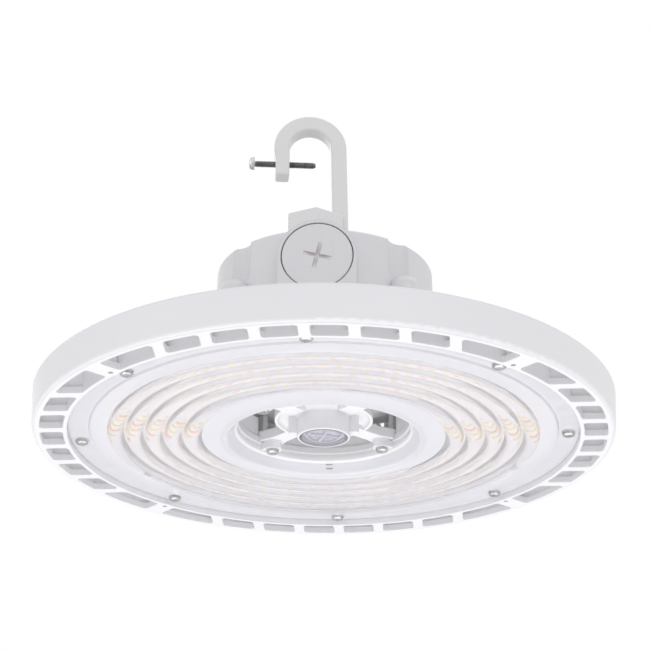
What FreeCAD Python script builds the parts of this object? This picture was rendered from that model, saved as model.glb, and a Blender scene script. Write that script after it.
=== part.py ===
import FreeCAD, Part
import math
import os

import Sketcher

Vector = FreeCAD.Vector

# Driving dimensions in millimetres and degrees. The origin is the centre of the rim's underside, +Z
# points up to the hook and -Y to the access plug. Heights named *_level are measured from the origin.
DIMENSIONS = {
    # Casting: rim and slotted ring
    "rim_radius": 170.0,
    "rim_height": 22.0,
    "rim_wall": 3.4,
    "rim_lean": 0.8,
    "rim_round": 2.5,
    "ring_thick": 4.0,
    "slot_long": 13.5,
    "slot_margin": 4.5,
    "slot_corner": 2.0,
    "rib_pitch": 26.0,
    "rib_width": 6.4,
    "web_width": 12.4,
    "guard_inset": 1.4,
    "guard_hole": 1.4,
    "guard_depth": 12.0,
    "guard_boss": 4.2,
    # Casting: plate, ledge, fins and windows
    "pocket_land": 2.4,
    "ledge_width": 12.1,
    "plate_level": 12.0,
    "plate_thick": 4.0,
    "window_radius": 50.3,
    "collar_thick": 3.7,
    "collar_step": 0.8,
    "collar_tall": 12.0,
    "collar_gap": 17.0,
    "shield_gap": 1.0,
    "shield_rise": 3.0,
    "shield_angle": 15.0,
    "fin_crown_rise": 12.0,
    "fin_crown_inset": 8.5,
    "fin_crown_width": 5.0,
    "fin_root": 3.6,
    "fin_tip": 2.2,
    "fin_end_level": 19.0,
    "fin_rise": 17.0,
    # Casting: hub and arms
    "arm_level": 13.2,
    "arm_thick": 6.0,
    "arm_width": 10.6,
    "arm_flare": 2.4,
    "hub_radius": 15.6,
    "hub_bore": 14.3,
    "hub_level": 2.5,
    "hub_floor_level": 12.0,
    "flange_radius": 29.0,
    "flange_lip": 1.8,
    "flange_recess": 2.5,
    "column_radius": 12.0,
    "lead_bore": 8.0,
    "gusset_width": 4.0,
    "gusset_reach": 5.0,
    "peg_hole": 2.0,
    "peg_inset": 3.45,
    # Lens
    "head_recess": 1.1,
    "lens_clearance": 0.6,
    "flange_thick": 2.5,
    "seal_thick": 1.5,
    "seal_width": 10.6,
    "lens_face_level": 2.4,
    "lens_wall": 2.4,
    "dish_width": 13.8,
    "ridge_border": 9.1,
    "ridge_rise": 1.5,
    "crest_reach": 6.6,
    "crest_level": 0.4,
    "inner_flange_thick": 3.2,
    "inner_flange_gap": 0.7,
    "inner_seal_width": 4.5,
    "inner_seal_gap": 0.5,
    "ear_radius": 5.4,
    "ear_thick": 3.7,
    "outer_screw_inset": 6.6,
    "inner_screw_inset": 3.7,
    "screw_recess": 6.5,
    # Fastener sizes
    "screw_radius": 2.0,
    "screw_head_radius": 3.9,
    "screw_head_tall": 2.6,
    "lens_screw_length": 10.0,
    "small_screw_radius": 1.5,
    "small_head_radius": 2.8,
    "small_head_tall": 2.0,
    "small_screw_length": 5.0,
    "hole_spare": 0.3,
    # Circuit board and packages
    "board_inner_gap": 3.4,
    "board_outer_gap": 3.5,
    "board_thick": 1.6,
    "package_width": 2.6,
    "package_long": 4.8,
    "package_thick": 0.7,
    "package_pitch": 8.2,
    "connector_inset": 6.5,
    "connector_long": 30.0,
    "connector_wide": 11.0,
    "connector_tall": 4.4,
    "board_screw_inset_in": 6.0,
    "board_screw_inset_out": 4.5,
    # Sensor
    "cap_wall": 1.4,
    "cap_tall": 5.0,
    "insert_tall": 2.6,
    "insert_lobe": 3.4,
    "insert_circle": 5.4,
    "sensor_board_thick": 1.2,
    "sensor_seal_thick": 1.0,
    # Driver tray
    "tray_overhang": 14.7,
    "tray_draft": 1.0,
    "tray_wall": 2.8,
    "tray_tall": 29.0,
    "post_offset": 5.0,
    "post_radius": 6.5,
    "tray_screw_length": 30.0,
    "lead_tube_offset": 8.7,
    "lead_tube_radius": 5.0,
    "lead_hole": 2.4,
    "lead_radius": 0.8,
    "lead_spacing": 2.2,
    "grommet_lip": 1.2,
    # Driver cover
    "cover_seal": 0.8,
    "cover_overhang": 0.3,
    "cover_draft": 1.3,
    "cover_wall": 3.0,
    "cover_top_rise": 19.5,
    "cover_top_thick": 4.0,
    "cover_crown": 1.0,
    "cover_round": 2.0,
    "flute_radius": 9.5,
    "foot_tall": 14.2,
    "foot_rise": 9.0,
    "foot_radius": 8.0,
    "foot_counterbore": 4.9,
    "cover_screw_length": 22.0,
    # Plug and its pad
    "plug_rise": 25.2,
    "pad_radius": 23.0,
    "pad_stand": 2.7,
    "pad_depth": 22.0,
    "plug_radius": 20.4,
    "plug_gap": 0.6,
    "plug_cap": 4.0,
    "plug_thread": 16.8,
    "plug_length": 9.0,
    "cross_long": 17.6,
    "cross_wide": 2.3,
    "cross_deep": 2.2,
    "cross_turn": 14.0,
    # Hook
    "hook_offset": 6.5,
    "hook_turn": 7.0,
    "hook_boss_radius": 22.0,
    "hook_boss_tall": 19.5,
    "hook_seal": 1.0,
    "hex_flats": 33.4,
    "hex_tall": 18.0,
    "nipple_radius": 13.2,
    "nipple_drop": 8.5,
    "nipple_bore": 7.0,
    "hook_deep": 11.5,
    "hook_width": 9.7,
    "saddle_radius": 12.9,
    "saddle_rise": 48.5,
    "saddle_shift": 3.4,
    "stem_lean": 1.3,
    "tip_drop": 19.6,
    "tip_flat": 1.0,
    "hook_edge": 1.6,
    "locknut_flats": 38.0,
    "locknut_thick": 6.0,
    "set_screw_radius": 2.5,
    "set_screw_rise": 9.5,
    "set_screw_length": 7.0,
    "keeper_drop": 9.9,
    "keeper_length": 38.0,
    "keeper_reach": 37.9,
    "keeper_head_radius": 4.2,
    "keeper_head_tall": 3.4,
    # Driver module
    "driver_long": 92.0,
    "driver_wide": 62.0,
    "driver_tall": 24.0,
    "driver_tab": 7.0,
    "driver_tab_thick": 2.0,
    "driver_lift": 3.0,
    "terminal_long": 26.0,
    "terminal_wide": 12.0,
    "terminal_tall": 11.0,
}

DIAGONALS = (45, 135, 225, 315)
RIDGES = 5
RIBS_EACH_SIDE = 3

doc = FreeCAD.newDocument("high_bay")


class Size:
    """A number together with the spreadsheet formula that it comes from."""

    def __init__(self, value, formula):
        self.value = value
        self.formula = formula

    def __add__(self, other):
        other = as_size(other)
        return Size(self.value + other.value, f"({self.formula} + {other.formula})")

    def __sub__(self, other):
        other = as_size(other)
        return Size(self.value - other.value, f"({self.formula} - {other.formula})")

    def __mul__(self, other):
        other = as_size(other)
        return Size(self.value * other.value, f"({self.formula} * {other.formula})")

    def __truediv__(self, other):
        other = as_size(other)
        return Size(self.value / other.value, f"({self.formula} / {other.formula})")

    def __neg__(self):
        return Size(-self.value, f"(0 - {self.formula})")


def as_size(thing):
    return thing if isinstance(thing, Size) else Size(float(thing), str(thing))


def root(size):
    return Size(math.sqrt(size.value), f"sqrt({size.formula})")


def cosine(angle):
    angle = as_size(angle)
    return Size(math.cos(math.radians(angle.value)), f"cos({angle.formula} * 1 deg)")


def sine(angle):
    angle = as_size(angle)
    return Size(math.sin(math.radians(angle.value)), f"sin({angle.formula} * 1 deg)")


def other_leg(hypotenuse, leg):
    return root(hypotenuse * hypotenuse - leg * leg)


def write_sheet():
    """The spreadsheet of driving dimensions, and the same names as Sizes."""
    sheet = doc.addObject("Spreadsheet::Sheet", "dims")
    sizes = {}
    for row, (name, value) in enumerate(DIMENSIONS.items(), 1):
        sheet.set(f"A{row}", name)
        sheet.set(f"B{row}", str(value))
        sheet.setAlias(f"B{row}", name)
        sizes[name] = Size(value, f"dims.{name}")
    doc.recompute()
    return sizes


D = write_sheet()


def bind(thing, prop, size):
    thing.setExpression(prop, as_size(size).formula)


def add_body(name):
    body = doc.addObject("PartDesign::Body", name)
    body.AllowCompound = True
    return body


def origin_part(body, role):
    return next(item for item in body.Origin.OriginFeatures if item.Role == role)


def add_sketch(body, plane, name, lift=None):
    """A sketch on one of the body's own origin planes, lifted along the plane's normal."""
    sketch = body.newObject("Sketcher::SketchObject", name)
    sketch.AttachmentSupport = (origin_part(body, plane), [""])
    sketch.MapMode = "FlatFace"
    if lift is not None:
        bind(sketch, "AttachmentOffset.Base.z", lift)
    return sketch


def pin(sketch, geometry, point, across, up):
    """Fixes one point of the sketch at two driven distances from its origin."""
    for kind, size in (("DistanceX", as_size(across)), ("DistanceY", as_size(up))):
        index = sketch.addConstraint(Sketcher.Constraint(kind, -1, 1, geometry, point, size.value))
        sketch.setExpression(f"Constraints[{index}]", size.formula)


def flat(across, up):
    return Vector(as_size(across).value, as_size(up).value, 0)


def arc_between(start, end, radius):
    """The short counterclockwise arc of this radius from start to end."""
    middle = (start + end) * 0.5
    span = end - start
    normal = Vector(-span.y, span.x, 0).normalize()
    centre = middle + normal * math.sqrt(max(radius ** 2 - (span.Length / 2) ** 2, 0))
    circle = Part.Circle(centre, Vector(0, 0, 1), radius)
    return Part.ArcOfCircle(circle, circle.parameter(start), circle.parameter(end))


def outline(sketch, corners):
    """A closed outline. A corner is (across, up), or (across, up, radius) where the side that
    leaves it is an arc: counterclockwise for a plain radius, clockwise for ("back", radius)."""
    first = sketch.GeometryCount
    ends = []
    for place, corner in enumerate(corners):
        after = corners[(place + 1) % len(corners)]
        start, end = flat(*corner[:2]), flat(*after[:2])
        if len(corner) == 2:
            sketch.addGeometry(Part.LineSegment(start, end), False)
            ends.append((1, 2))
            continue
        turned = isinstance(corner[2], tuple)
        radius = as_size(corner[2][1] if turned else corner[2])
        pair = (end, start) if turned else (start, end)
        added = sketch.addGeometry(arc_between(*pair, radius.value), False)
        index = sketch.addConstraint(Sketcher.Constraint("Radius", added, radius.value))
        sketch.setExpression(f"Constraints[{index}]", radius.formula)
        ends.append((2, 1) if turned else (1, 2))
    for place, corner in enumerate(corners):
        after = (place + 1) % len(corners)
        join = (first + place, ends[place][1], first + after, ends[after][0])
        sketch.addConstraint(Sketcher.Constraint("Coincident", *join))
        pin(sketch, first + place, ends[place][0], corner[0], corner[1])


def disc(sketch, across, up, radius):
    """A full circle in a sketch."""
    radius = as_size(radius)
    added = sketch.addGeometry(Part.Circle(flat(across, up), Vector(0, 0, 1), radius.value), False)
    index = sketch.addConstraint(Sketcher.Constraint("Radius", added, radius.value))
    sketch.setExpression(f"Constraints[{index}]", radius.formula)
    pin(sketch, added, 3, across, up)


def upright_axis(sketch, across):
    """A construction line that a profile away from the body's own axis turns about."""
    low, high = flat(across, 0), flat(across, 50)
    added = sketch.addGeometry(Part.LineSegment(low, high), True)
    pin(sketch, added, 1, across, 0)
    pin(sketch, added, 2, across, 50)
    return (sketch, ["Axis0"])


def turned(body, name, corners, axis_at=None):
    """A solid of revolution about the upright axis, from a profile of (radius, height) corners."""
    sketch = add_sketch(body, "XZ_Plane", name + "_profile")
    outline(sketch, corners)
    feature = body.newObject("PartDesign::Revolution", name)
    feature.Profile = sketch
    feature.ReferenceAxis = (sketch, ["V_Axis"])
    if axis_at is not None:
        feature.ReferenceAxis = upright_axis(sketch, axis_at)
    feature.Angle = 360
    return feature


def raised(body, name, sketch, length, both_ways=False, backwards=False):
    pad = body.newObject("PartDesign::Pad", name)
    pad.Profile = sketch
    bind(pad, "Length", length)
    if both_ways:
        pad.SideType = "Symmetric"
    pad.Reversed = backwards
    return pad


def sunk(body, name, sketch, depth, both_ways=False, backwards=False):
    pocket = body.newObject("PartDesign::Pocket", name)
    pocket.Profile = sketch
    bind(pocket, "Length", depth)
    if both_ways:
        pocket.SideType = "Symmetric"
    pocket.Reversed = backwards
    return pocket


def polar(body, name, features, count):
    pattern = body.newObject("PartDesign::PolarPattern", name)
    pattern.Originals = features
    pattern.Axis = (origin_part(body, "Z_Axis"), [""])
    pattern.Angle = 360
    pattern.Occurrences = count
    body.Tip = pattern
    return pattern


def rounded(body, base, name, radius, wanted):
    """A fillet on the edges of the base feature that the test picks out."""
    doc.recompute()
    edges = [f"Edge{n}" for n, edge in enumerate(base.Shape.Edges, 1) if wanted(edge)]
    fillet = body.newObject("PartDesign::Fillet", name)
    fillet.Base = (base, edges)
    bind(fillet, "Radius", radius)
    return fillet


def rod(name, radius, low, high, circle=0, angle=0):
    """An upright cylinder between two levels, at an angle on a circle about the axis."""
    cylinder = doc.addObject("Part::Cylinder", name)
    bind(cylinder, "Radius", radius)
    bind(cylinder, "Height", as_size(high) - low)
    bind(cylinder, "Placement.Base.x", as_size(circle) * cosine(angle))
    bind(cylinder, "Placement.Base.y", as_size(circle) * sine(angle))
    bind(cylinder, "Placement.Base.z", low)
    return cylinder


def rods(name, radius, low, high, circle, angles):
    return [rod(f"{name}_{n}", radius, low, high, circle, angle) for n, angle in enumerate(angles, 1)]


def block(name, low, high):
    """A box between two opposite corners."""
    box = doc.addObject("Part::Box", name)
    for prop, letter, start, end in zip(("Length", "Width", "Height"), "xyz", low, high):
        bind(box, prop, as_size(end) - start)
        bind(box, f"Placement.Base.{letter}", start)
    return box


def joined(name, pieces):
    fuse = doc.addObject("Part::MultiFuse", name)
    fuse.Shapes = pieces
    fuse.Refine = True
    return fuse


def cut_from(name, base, tools):
    """The base less its tools."""
    cut = doc.addObject("Part::Cut", name)
    cut.Base = base
    cut.Tool = tools[0] if len(tools) == 1 else joined(name + "_tools", tools)
    cut.Refine = True
    return cut


def overlap(name, pieces):
    common = doc.addObject("Part::MultiCommon", name)
    common.Shapes = pieces
    return common


def evenly(count, start=0):
    return [start + 360 * n / count for n in range(count)]


# Radii, from the rim inwards and from the window outwards.
slot_outer = D["rim_radius"] - D["slot_margin"]
slot_inner = slot_outer - D["slot_long"]
guard_circle = slot_inner + D["guard_inset"]
pocket_radius = slot_inner - D["pocket_land"]
outer_screw_circle = pocket_radius - D["outer_screw_inset"]
ledge_inner = pocket_radius - D["ledge_width"]
board_outer = ledge_inner - D["board_outer_gap"]
board_screw_outer = board_outer - D["board_screw_inset_out"]
inner_screw_circle = D["window_radius"] - D["inner_screw_inset"]
inner_flange_radius = D["window_radius"] + D["inner_flange_gap"]
peg_circle = D["window_radius"] + D["peg_inset"]
fin_start = D["window_radius"] + D["collar_thick"]
lead_tube_circle = D["window_radius"] + D["lead_tube_offset"]
tray_radius = D["window_radius"] + D["tray_overhang"]
tray_rim_radius = tray_radius + D["tray_draft"]
post_circle = tray_radius + D["post_offset"]
cover_radius = tray_rim_radius + D["cover_overhang"]
cover_top_radius = cover_radius - D["cover_draft"]
pad_face = cover_radius + D["pad_stand"]
crest_radius = inner_flange_radius + D["crest_reach"]
board_inner = crest_radius + D["board_inner_gap"]
connector_circle = board_inner + D["connector_inset"]
board_screw_inner = board_inner + D["board_screw_inset_in"]
lens_land = ledge_inner - 1
ridge_start = crest_radius + D["dish_width"]
ridge_end = lens_land - D["ridge_border"]
ridge_pitch = (ridge_end - ridge_start) / RIDGES

# The lens hangs in the casting's pocket: heads, flange, seal and ledge stack up from the rim's plane.
outer_head_level = D["head_recess"]
flange_level = outer_head_level + D["screw_head_tall"]
outer_seal_level = flange_level + D["flange_thick"]
ledge_level = outer_seal_level + D["seal_thick"]
inner_seal_level = D["plate_level"] - D["seal_thick"]
inner_flange_level = inner_seal_level - D["inner_flange_thick"]
ear_level = D["plate_level"] - D["ear_thick"]
plate_top = D["plate_level"] + D["plate_thick"]
board_level = D["plate_level"] - D["board_thick"]
package_level = board_level - D["package_thick"]

# The housing and the hook stack up from the fins.
tray_level = plate_top + D["fin_rise"]
fin_crown_level = tray_level + D["fin_crown_rise"]
fin_crown_start = post_circle + D["fin_crown_inset"]
split_level = tray_level + D["tray_tall"]
cover_level = split_level + D["cover_seal"]
foot_level = cover_level + D["foot_tall"]
plug_level = cover_level + D["plug_rise"]
cover_top_level = plug_level + D["cover_top_rise"]
cover_ceiling = cover_top_level - D["cover_top_thick"]
set_screw_level = cover_top_level + D["set_screw_rise"]
hook_boss_level = cover_top_level + D["hook_boss_tall"]
hook_seat_level = hook_boss_level + D["hook_seal"]
nipple_end_level = cover_ceiling - D["nipple_drop"]
hex_top_level = hook_seat_level + D["hex_tall"]
saddle_level = hex_top_level + D["saddle_rise"]
keeper_level = saddle_level - D["keeper_drop"]
tip_level = saddle_level - D["tip_drop"]
rim_middle = D["rim_radius"] - D["rim_wall"] / 2
lip_middle = (pocket_radius + slot_inner) / 2
tray_screw_seat = D["plate_level"] + D["screw_head_tall"] + 0.6
board_screw_places = ((board_screw_inner, (30, 90, 150)), (board_screw_outer, evenly(6, 30)))
driver_level = tray_level + D["tray_wall"] + D["driver_lift"]
plug_seat = pad_face - D["plug_cap"] - D["seal_thick"]
insert_level = D["hub_level"] + D["cap_wall"]
sensor_seal_level = D["hub_level"] + D["cap_tall"]
sensor_board_level = sensor_seal_level + D["sensor_seal_thick"]


def slot_corners(left, right, inner, outer):
    """One ring slot between two straight sides, in the quadrant that faces -Y."""
    return [
        (left, -other_leg(outer, left), outer),
        (right, -other_leg(outer, right)),
        (right, -other_leg(inner, right), ("back", inner)),
        (left, -other_leg(inner, left)),
    ]


def wedge_corners(side, inner, outer):
    """The slot between a quadrant's last rib and the diagonal web: side is 1 on the right, -1 on the left."""
    straight = D["rib_pitch"] * RIBS_EACH_SIDE + D["rib_width"] / 2
    web_half = D["web_width"] / 2
    slant = Size(math.sqrt(0.5), "sqrt(0.5)")

    def on_web(radius):
        along = other_leg(radius, web_half)
        return (along - web_half) * slant * side, -(along + web_half) * slant

    web_outer, web_inner = on_web(outer), on_web(inner)
    rib_outer = (straight * side, -other_leg(outer, straight))
    rib_inner = (straight * side, -other_leg(inner, straight))
    if side > 0:
        return [(*rib_outer, outer), web_outer, (*web_inner, ("back", inner)), rib_inner]
    return [(*web_outer, outer), rib_outer, (*rib_inner, ("back", inner)), web_inner]


def make_slot_ring():
    """The flat ring of the casting with its 32 slots, eight to a quadrant, their corners rounded."""
    body = add_body("slot_ring")
    sketch = add_sketch(body, "XY_Plane", "slot_ring_outline")
    disc(sketch, 0, 0, rim_middle)
    disc(sketch, 0, 0, pocket_radius)
    raised(body, "slot_ring_plate", sketch, D["ring_thick"])
    slots = add_sketch(body, "XY_Plane", "quadrant_slots")
    half_rib = D["rib_width"] / 2
    for number in range(RIBS_EACH_SIDE):
        near = D["rib_pitch"] * number + half_rib
        far = D["rib_pitch"] * (number + 1) - half_rib
        outline(slots, slot_corners(near, far, slot_inner, slot_outer))
        outline(slots, slot_corners(-far, -near, slot_inner, slot_outer))
    for side in (1, -1):
        outline(slots, wedge_corners(side, slot_inner, slot_outer))
    cut = sunk(body, "quadrant_cut", slots, D["ring_thick"], backwards=True)
    ring = polar(body, "slots", [cut], 4)

    def slot_corner(edge):
        start, end = edge.Vertexes[0].Point, edge.Vertexes[-1].Point
        upright = abs(start.z - end.z) > 1 and math.hypot(start.x - end.x, start.y - end.y) < 0.001
        return upright and len(edge.Vertexes) == 2 and not isinstance(edge.Curve, Part.Circle)

    def in_slot(edge):
        reach = math.hypot(*edge.Vertexes[0].Point[:2])
        return slot_corner(edge) and pocket_radius.value + 0.5 < reach < rim_middle.value - 0.5

    rounded(body, ring, "slot_corners", D["slot_corner"], in_slot)
    return body


def make_rim():
    """The rim, its rounded lower edge leaning out a little towards the top."""
    body = add_body("rim")
    outer, lean = D["rim_radius"], D["rim_lean"]
    inner = outer - D["rim_wall"]
    round_edge = D["rim_round"]
    turned(body, "rim_wall_ring", [
        (inner, 0),
        (outer - round_edge, 0, round_edge),
        (outer, round_edge),
        (outer + lean, D["rim_height"] - 1),
        (outer + lean - 1, D["rim_height"]),
        (inner + lean + 1, D["rim_height"]),
        (inner + lean, D["rim_height"] - 1),
        (inner, D["ring_thick"]),
    ])
    return body


def make_plate():
    """The lens pocket's wall and ledge, and the plate that the circuit board lies against."""
    body = add_body("plate")
    turned(body, "plate_ring", [
        (D["window_radius"], D["plate_level"]),
        (ledge_inner, D["plate_level"]),
        (ledge_inner, ledge_level),
        (pocket_radius, ledge_level),
        (pocket_radius, 0),
        (slot_inner, 0),
        (slot_inner, plate_top),
        (D["window_radius"], plate_top),
    ])
    return body


def make_fin_bars(name, turn):
    """Seven tapered fins right across the casting, parallel to X before the turn."""
    body = add_body(name)
    sketch = add_sketch(body, "YZ_Plane", name + "_section")
    root_half, tip_half = D["fin_root"] / 2, D["fin_tip"] / 2
    for number in range(-RIBS_EACH_SIDE, RIBS_EACH_SIDE + 1):
        middle = D["rib_pitch"] * number
        outline(sketch, [
            (middle - root_half, D["ring_thick"] / 2),
            (middle + root_half, D["ring_thick"] / 2),
            (middle + tip_half, fin_crown_level),
            (middle - tip_half, fin_crown_level),
        ])
    raised(body, name + "_run", sketch, rim_middle * 2, both_ways=True)
    body.Placement.Rotation = FreeCAD.Rotation(Vector(0, 0, 1), turn)
    return body


def make_bow_tie(name, turn):
    """The two quadrants, between the diagonal webs, that one set of parallel fins fills."""
    body = add_body(name)
    sketch = add_sketch(body, "XY_Plane", name + "_outline")
    for side in (1, -1):
        outline(sketch, [
            (fin_start * side / 2, -fin_start / 2),
            (rim_middle * side, -rim_middle),
            (rim_middle * side, rim_middle),
            (fin_start * side / 2, fin_start / 2),
        ])
    raised(body, name + "_pad", sketch, fin_crown_level)
    body.Placement.Rotation = FreeCAD.Rotation(Vector(0, 0, 1), turn)
    return body


def make_collar():
    """The wall round the window that the fins start from, open at the four arms."""
    low, top = plate_top - 1, plate_top + D["collar_tall"]
    inside = rod("collar_inside", D["window_radius"] + D["collar_step"], low - 1, top + 1)
    gaps = []
    for number, angle in enumerate((45, 135), 1):
        gap = doc.addObject("Part::Box", f"collar_gap_{number}")
        bind(gap, "Length", fin_start * 2 + 2)
        bind(gap, "Width", D["collar_gap"])
        bind(gap, "Height", D["collar_tall"] + 2)
        gap.Placement = FreeCAD.Placement(Vector(), FreeCAD.Rotation(Vector(0, 0, 1), angle))
        along, aside = -(fin_start + 1), -(D["collar_gap"] / 2)
        bind(gap, "Placement.Base.x", along * cosine(angle) - aside * sine(angle))
        bind(gap, "Placement.Base.y", along * sine(angle) + aside * cosine(angle))
        bind(gap, "Placement.Base.z", plate_top)
        gaps.append(gap)
    return cut_from("collar", rod("collar_outside", fin_start + 0.5, low, top), [inside, *gaps])


def make_shields():
    """A curved wall behind each arm, close to the tray's edge and let in for the tray's post."""
    body = add_body("shield_walls")
    low = D["plate_level"] + D["plate_thick"] / 2
    sketch = add_sketch(body, "XY_Plane", "shield_outline", low)
    inner = tray_rim_radius + D["shield_gap"]
    outer = inner + D["fin_root"]
    across, up = cosine(D["shield_angle"]), sine(D["shield_angle"])
    outline(sketch, [
        (inner * across, -inner * up),
        (outer * across, -outer * up, outer),
        (outer * across, outer * up),
        (inner * across, inner * up, ("back", inner)),
    ])
    wall = raised(body, "shield_wall", sketch, tray_level + D["shield_rise"] - low)
    polar(body, "four_shields", [wall], 4)
    body.Placement.Rotation = FreeCAD.Rotation(Vector(0, 0, 1), 45)
    reliefs = rods("shield_relief", D["post_radius"] + D["shield_gap"], tray_level,
                   tray_level + D["shield_rise"] + 1, post_circle, DIAGONALS)
    return cut_from("shields", body, reliefs)


def make_fin_envelope():
    """The form that all fins stop at: under the tray, up round its edge, then sloping to the rim."""
    body = add_body("fin_envelope")
    inside = D["plate_level"] + D["plate_thick"] / 2
    turned(body, "fin_envelope_ring", [
        (fin_start, inside),
        (lip_middle, inside),
        (lip_middle, D["ring_thick"] / 2),
        (rim_middle, D["ring_thick"] / 2),
        (rim_middle, D["fin_end_level"]),
        (fin_crown_start + D["fin_crown_width"], fin_crown_level),
        (fin_crown_start, fin_crown_level),
        (fin_crown_start, tray_level),
        (fin_start, tray_level),
    ])
    return body


def make_fins():
    """Four quadrants of parallel fins and the two diagonal walls between them."""
    pieces = []
    for name, turn in (("fins_along_x", 0), ("fins_along_y", 90)):
        bars = make_fin_bars(name, turn)
        pieces.append(overlap(name + "_trimmed", [bars, make_bow_tie(name + "_quadrants", turn)]))
    for number, angle in enumerate((45, 135), 1):
        wall = doc.addObject("Part::Box", f"diagonal_wall_{number}")
        bind(wall, "Length", rim_middle * 2)
        bind(wall, "Width", D["fin_root"])
        bind(wall, "Height", fin_crown_level)
        turn = FreeCAD.Rotation(Vector(0, 0, 1), angle)
        wall.Placement = FreeCAD.Placement(Vector(), turn)
        along, aside = -rim_middle, -(D["fin_root"] / 2)
        bind(wall, "Placement.Base.x", along * cosine(angle) - aside * sine(angle))
        bind(wall, "Placement.Base.y", along * sine(angle) + aside * cosine(angle))
        pieces.append(wall)
    return overlap("fins", [joined("all_fins", pieces), make_fin_envelope()])


def make_hub():
    """The sensor hub with its dished flange and the hollow column that stands up to the tray."""
    body = add_body("hub")
    flange, lip = D["flange_radius"], D["flange_lip"]
    recess_level = D["arm_level"] + D["flange_recess"]
    top = D["arm_level"] + D["arm_thick"]
    turned(body, "hub_turned", [
        (D["hub_bore"], D["hub_level"]),
        (D["hub_radius"] - 0.5, D["hub_level"]),
        (D["hub_radius"], D["hub_level"] + 0.5),
        (D["hub_radius"], recess_level - 1.5, ("back", 1.5)),
        (D["hub_radius"] + 1.5, recess_level),
        (flange - lip - 2.5, recess_level, ("back", 3)),
        (flange - lip, D["arm_level"]),
        (flange, D["arm_level"]),
        (flange, top),
        (D["column_radius"], top),
        (D["column_radius"], tray_level),
        (D["lead_bore"], tray_level),
        (D["lead_bore"], D["hub_floor_level"]),
        (D["hub_bore"], D["hub_floor_level"]),
    ])
    return body


def make_arms():
    """Four diagonal arms from the hub's flange to the window ring, flared at the ring."""
    body = add_body("arms")
    sketch = add_sketch(body, "XY_Plane", "arm_outline", D["arm_level"])
    half, flare = D["arm_width"] / 2, D["arm_flare"]
    ring = D["window_radius"] + 2
    start = D["hub_radius"] + 3
    neck = D["window_radius"] - D["arm_width"]
    outline(sketch, [(start, -half), (neck, -half), (ring, -half - flare * 1.4), (ring, half + flare * 1.4),
                     (neck, half), (start, half)])
    arm = raised(body, "arm", sketch, D["arm_thick"])
    polar(body, "four_arms", [arm], 4)
    body.Placement.Rotation = FreeCAD.Rotation(Vector(0, 0, 1), 45)
    return body


def make_heat_sink():
    """The one die casting: slotted ring, rim, pocket, plate, fins, bosses, arms and hub, then its holes."""
    plate_middle = D["plate_level"] + D["plate_thick"] / 2
    arm_top = D["arm_level"] + D["arm_thick"]
    screw = D["screw_radius"]
    solids = [make_slot_ring(), make_rim(), make_plate(), make_collar(), make_fins()]
    solids += [make_shields(), make_hub(), make_arms()]
    solids += rods("tray_boss", D["post_radius"], plate_middle, tray_level, post_circle, DIAGONALS)
    solids += rods("guard_boss", D["guard_boss"], 0, D["guard_depth"] + 2, guard_circle, DIAGONALS)
    solids += rods("arm_boss", D["ear_radius"], D["plate_level"], arm_top, inner_screw_circle, DIAGONALS)
    solids.append(rod("lead_tube", D["lead_tube_radius"], plate_middle, tray_level, lead_tube_circle, 270))
    half = D["gusset_width"] / 2
    for name, side in (("right", 1), ("left", -1)):
        ends = sorted(((D["hub_radius"] - 1) * side, (D["hub_radius"] + D["gusset_reach"]) * side),
                      key=lambda size: size.value)
        solids.append(block(f"{name}_gusset", (ends[0], -half, D["hub_level"] + 3),
                            (ends[1], half, D["arm_level"] + D["flange_recess"] + 1)))
    outer_top = flange_level + D["lens_screw_length"] + D["hole_spare"]
    inner_top = ear_level + D["lens_screw_length"] + D["hole_spare"]
    board_top = board_level + D["small_screw_length"] + D["hole_spare"]
    seat = tray_screw_seat
    holes = rods("outer_screw_hole", screw, ledge_level - 1, outer_top, outer_screw_circle, evenly(8))
    holes += rods("inner_screw_hole", screw, D["plate_level"] - 1, inner_top, inner_screw_circle, DIAGONALS)
    holes += rods("guard_hole", D["guard_hole"], -1, D["guard_depth"], guard_circle, DIAGONALS)
    holes += rods("tray_screw_hole", screw + 0.2, D["plate_level"] - 1, tray_level + 1,
                  post_circle, DIAGONALS)
    holes += rods("tray_screw_sink", D["screw_head_radius"] + 0.4, D["plate_level"] - 1, seat,
                  post_circle, DIAGONALS)
    for circle, angles in board_screw_places:
        holes += rods("board_screw_hole", D["small_screw_radius"], D["plate_level"] - 1, board_top, circle, angles)
    holes.append(rod("lead_way", D["lead_hole"], D["plate_level"] - 1, tray_level + 1,
                     lead_tube_circle, 270))
    holes.append(rod("column_way", D["lead_bore"], D["hub_floor_level"] - 1, tray_level + 1))
    holes.append(rod("peg_way", D["peg_hole"], D["plate_level"] - 1, plate_top - 1, peg_circle, 90))
    return cut_from("heat_sink", joined("casting", solids), holes)


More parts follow.
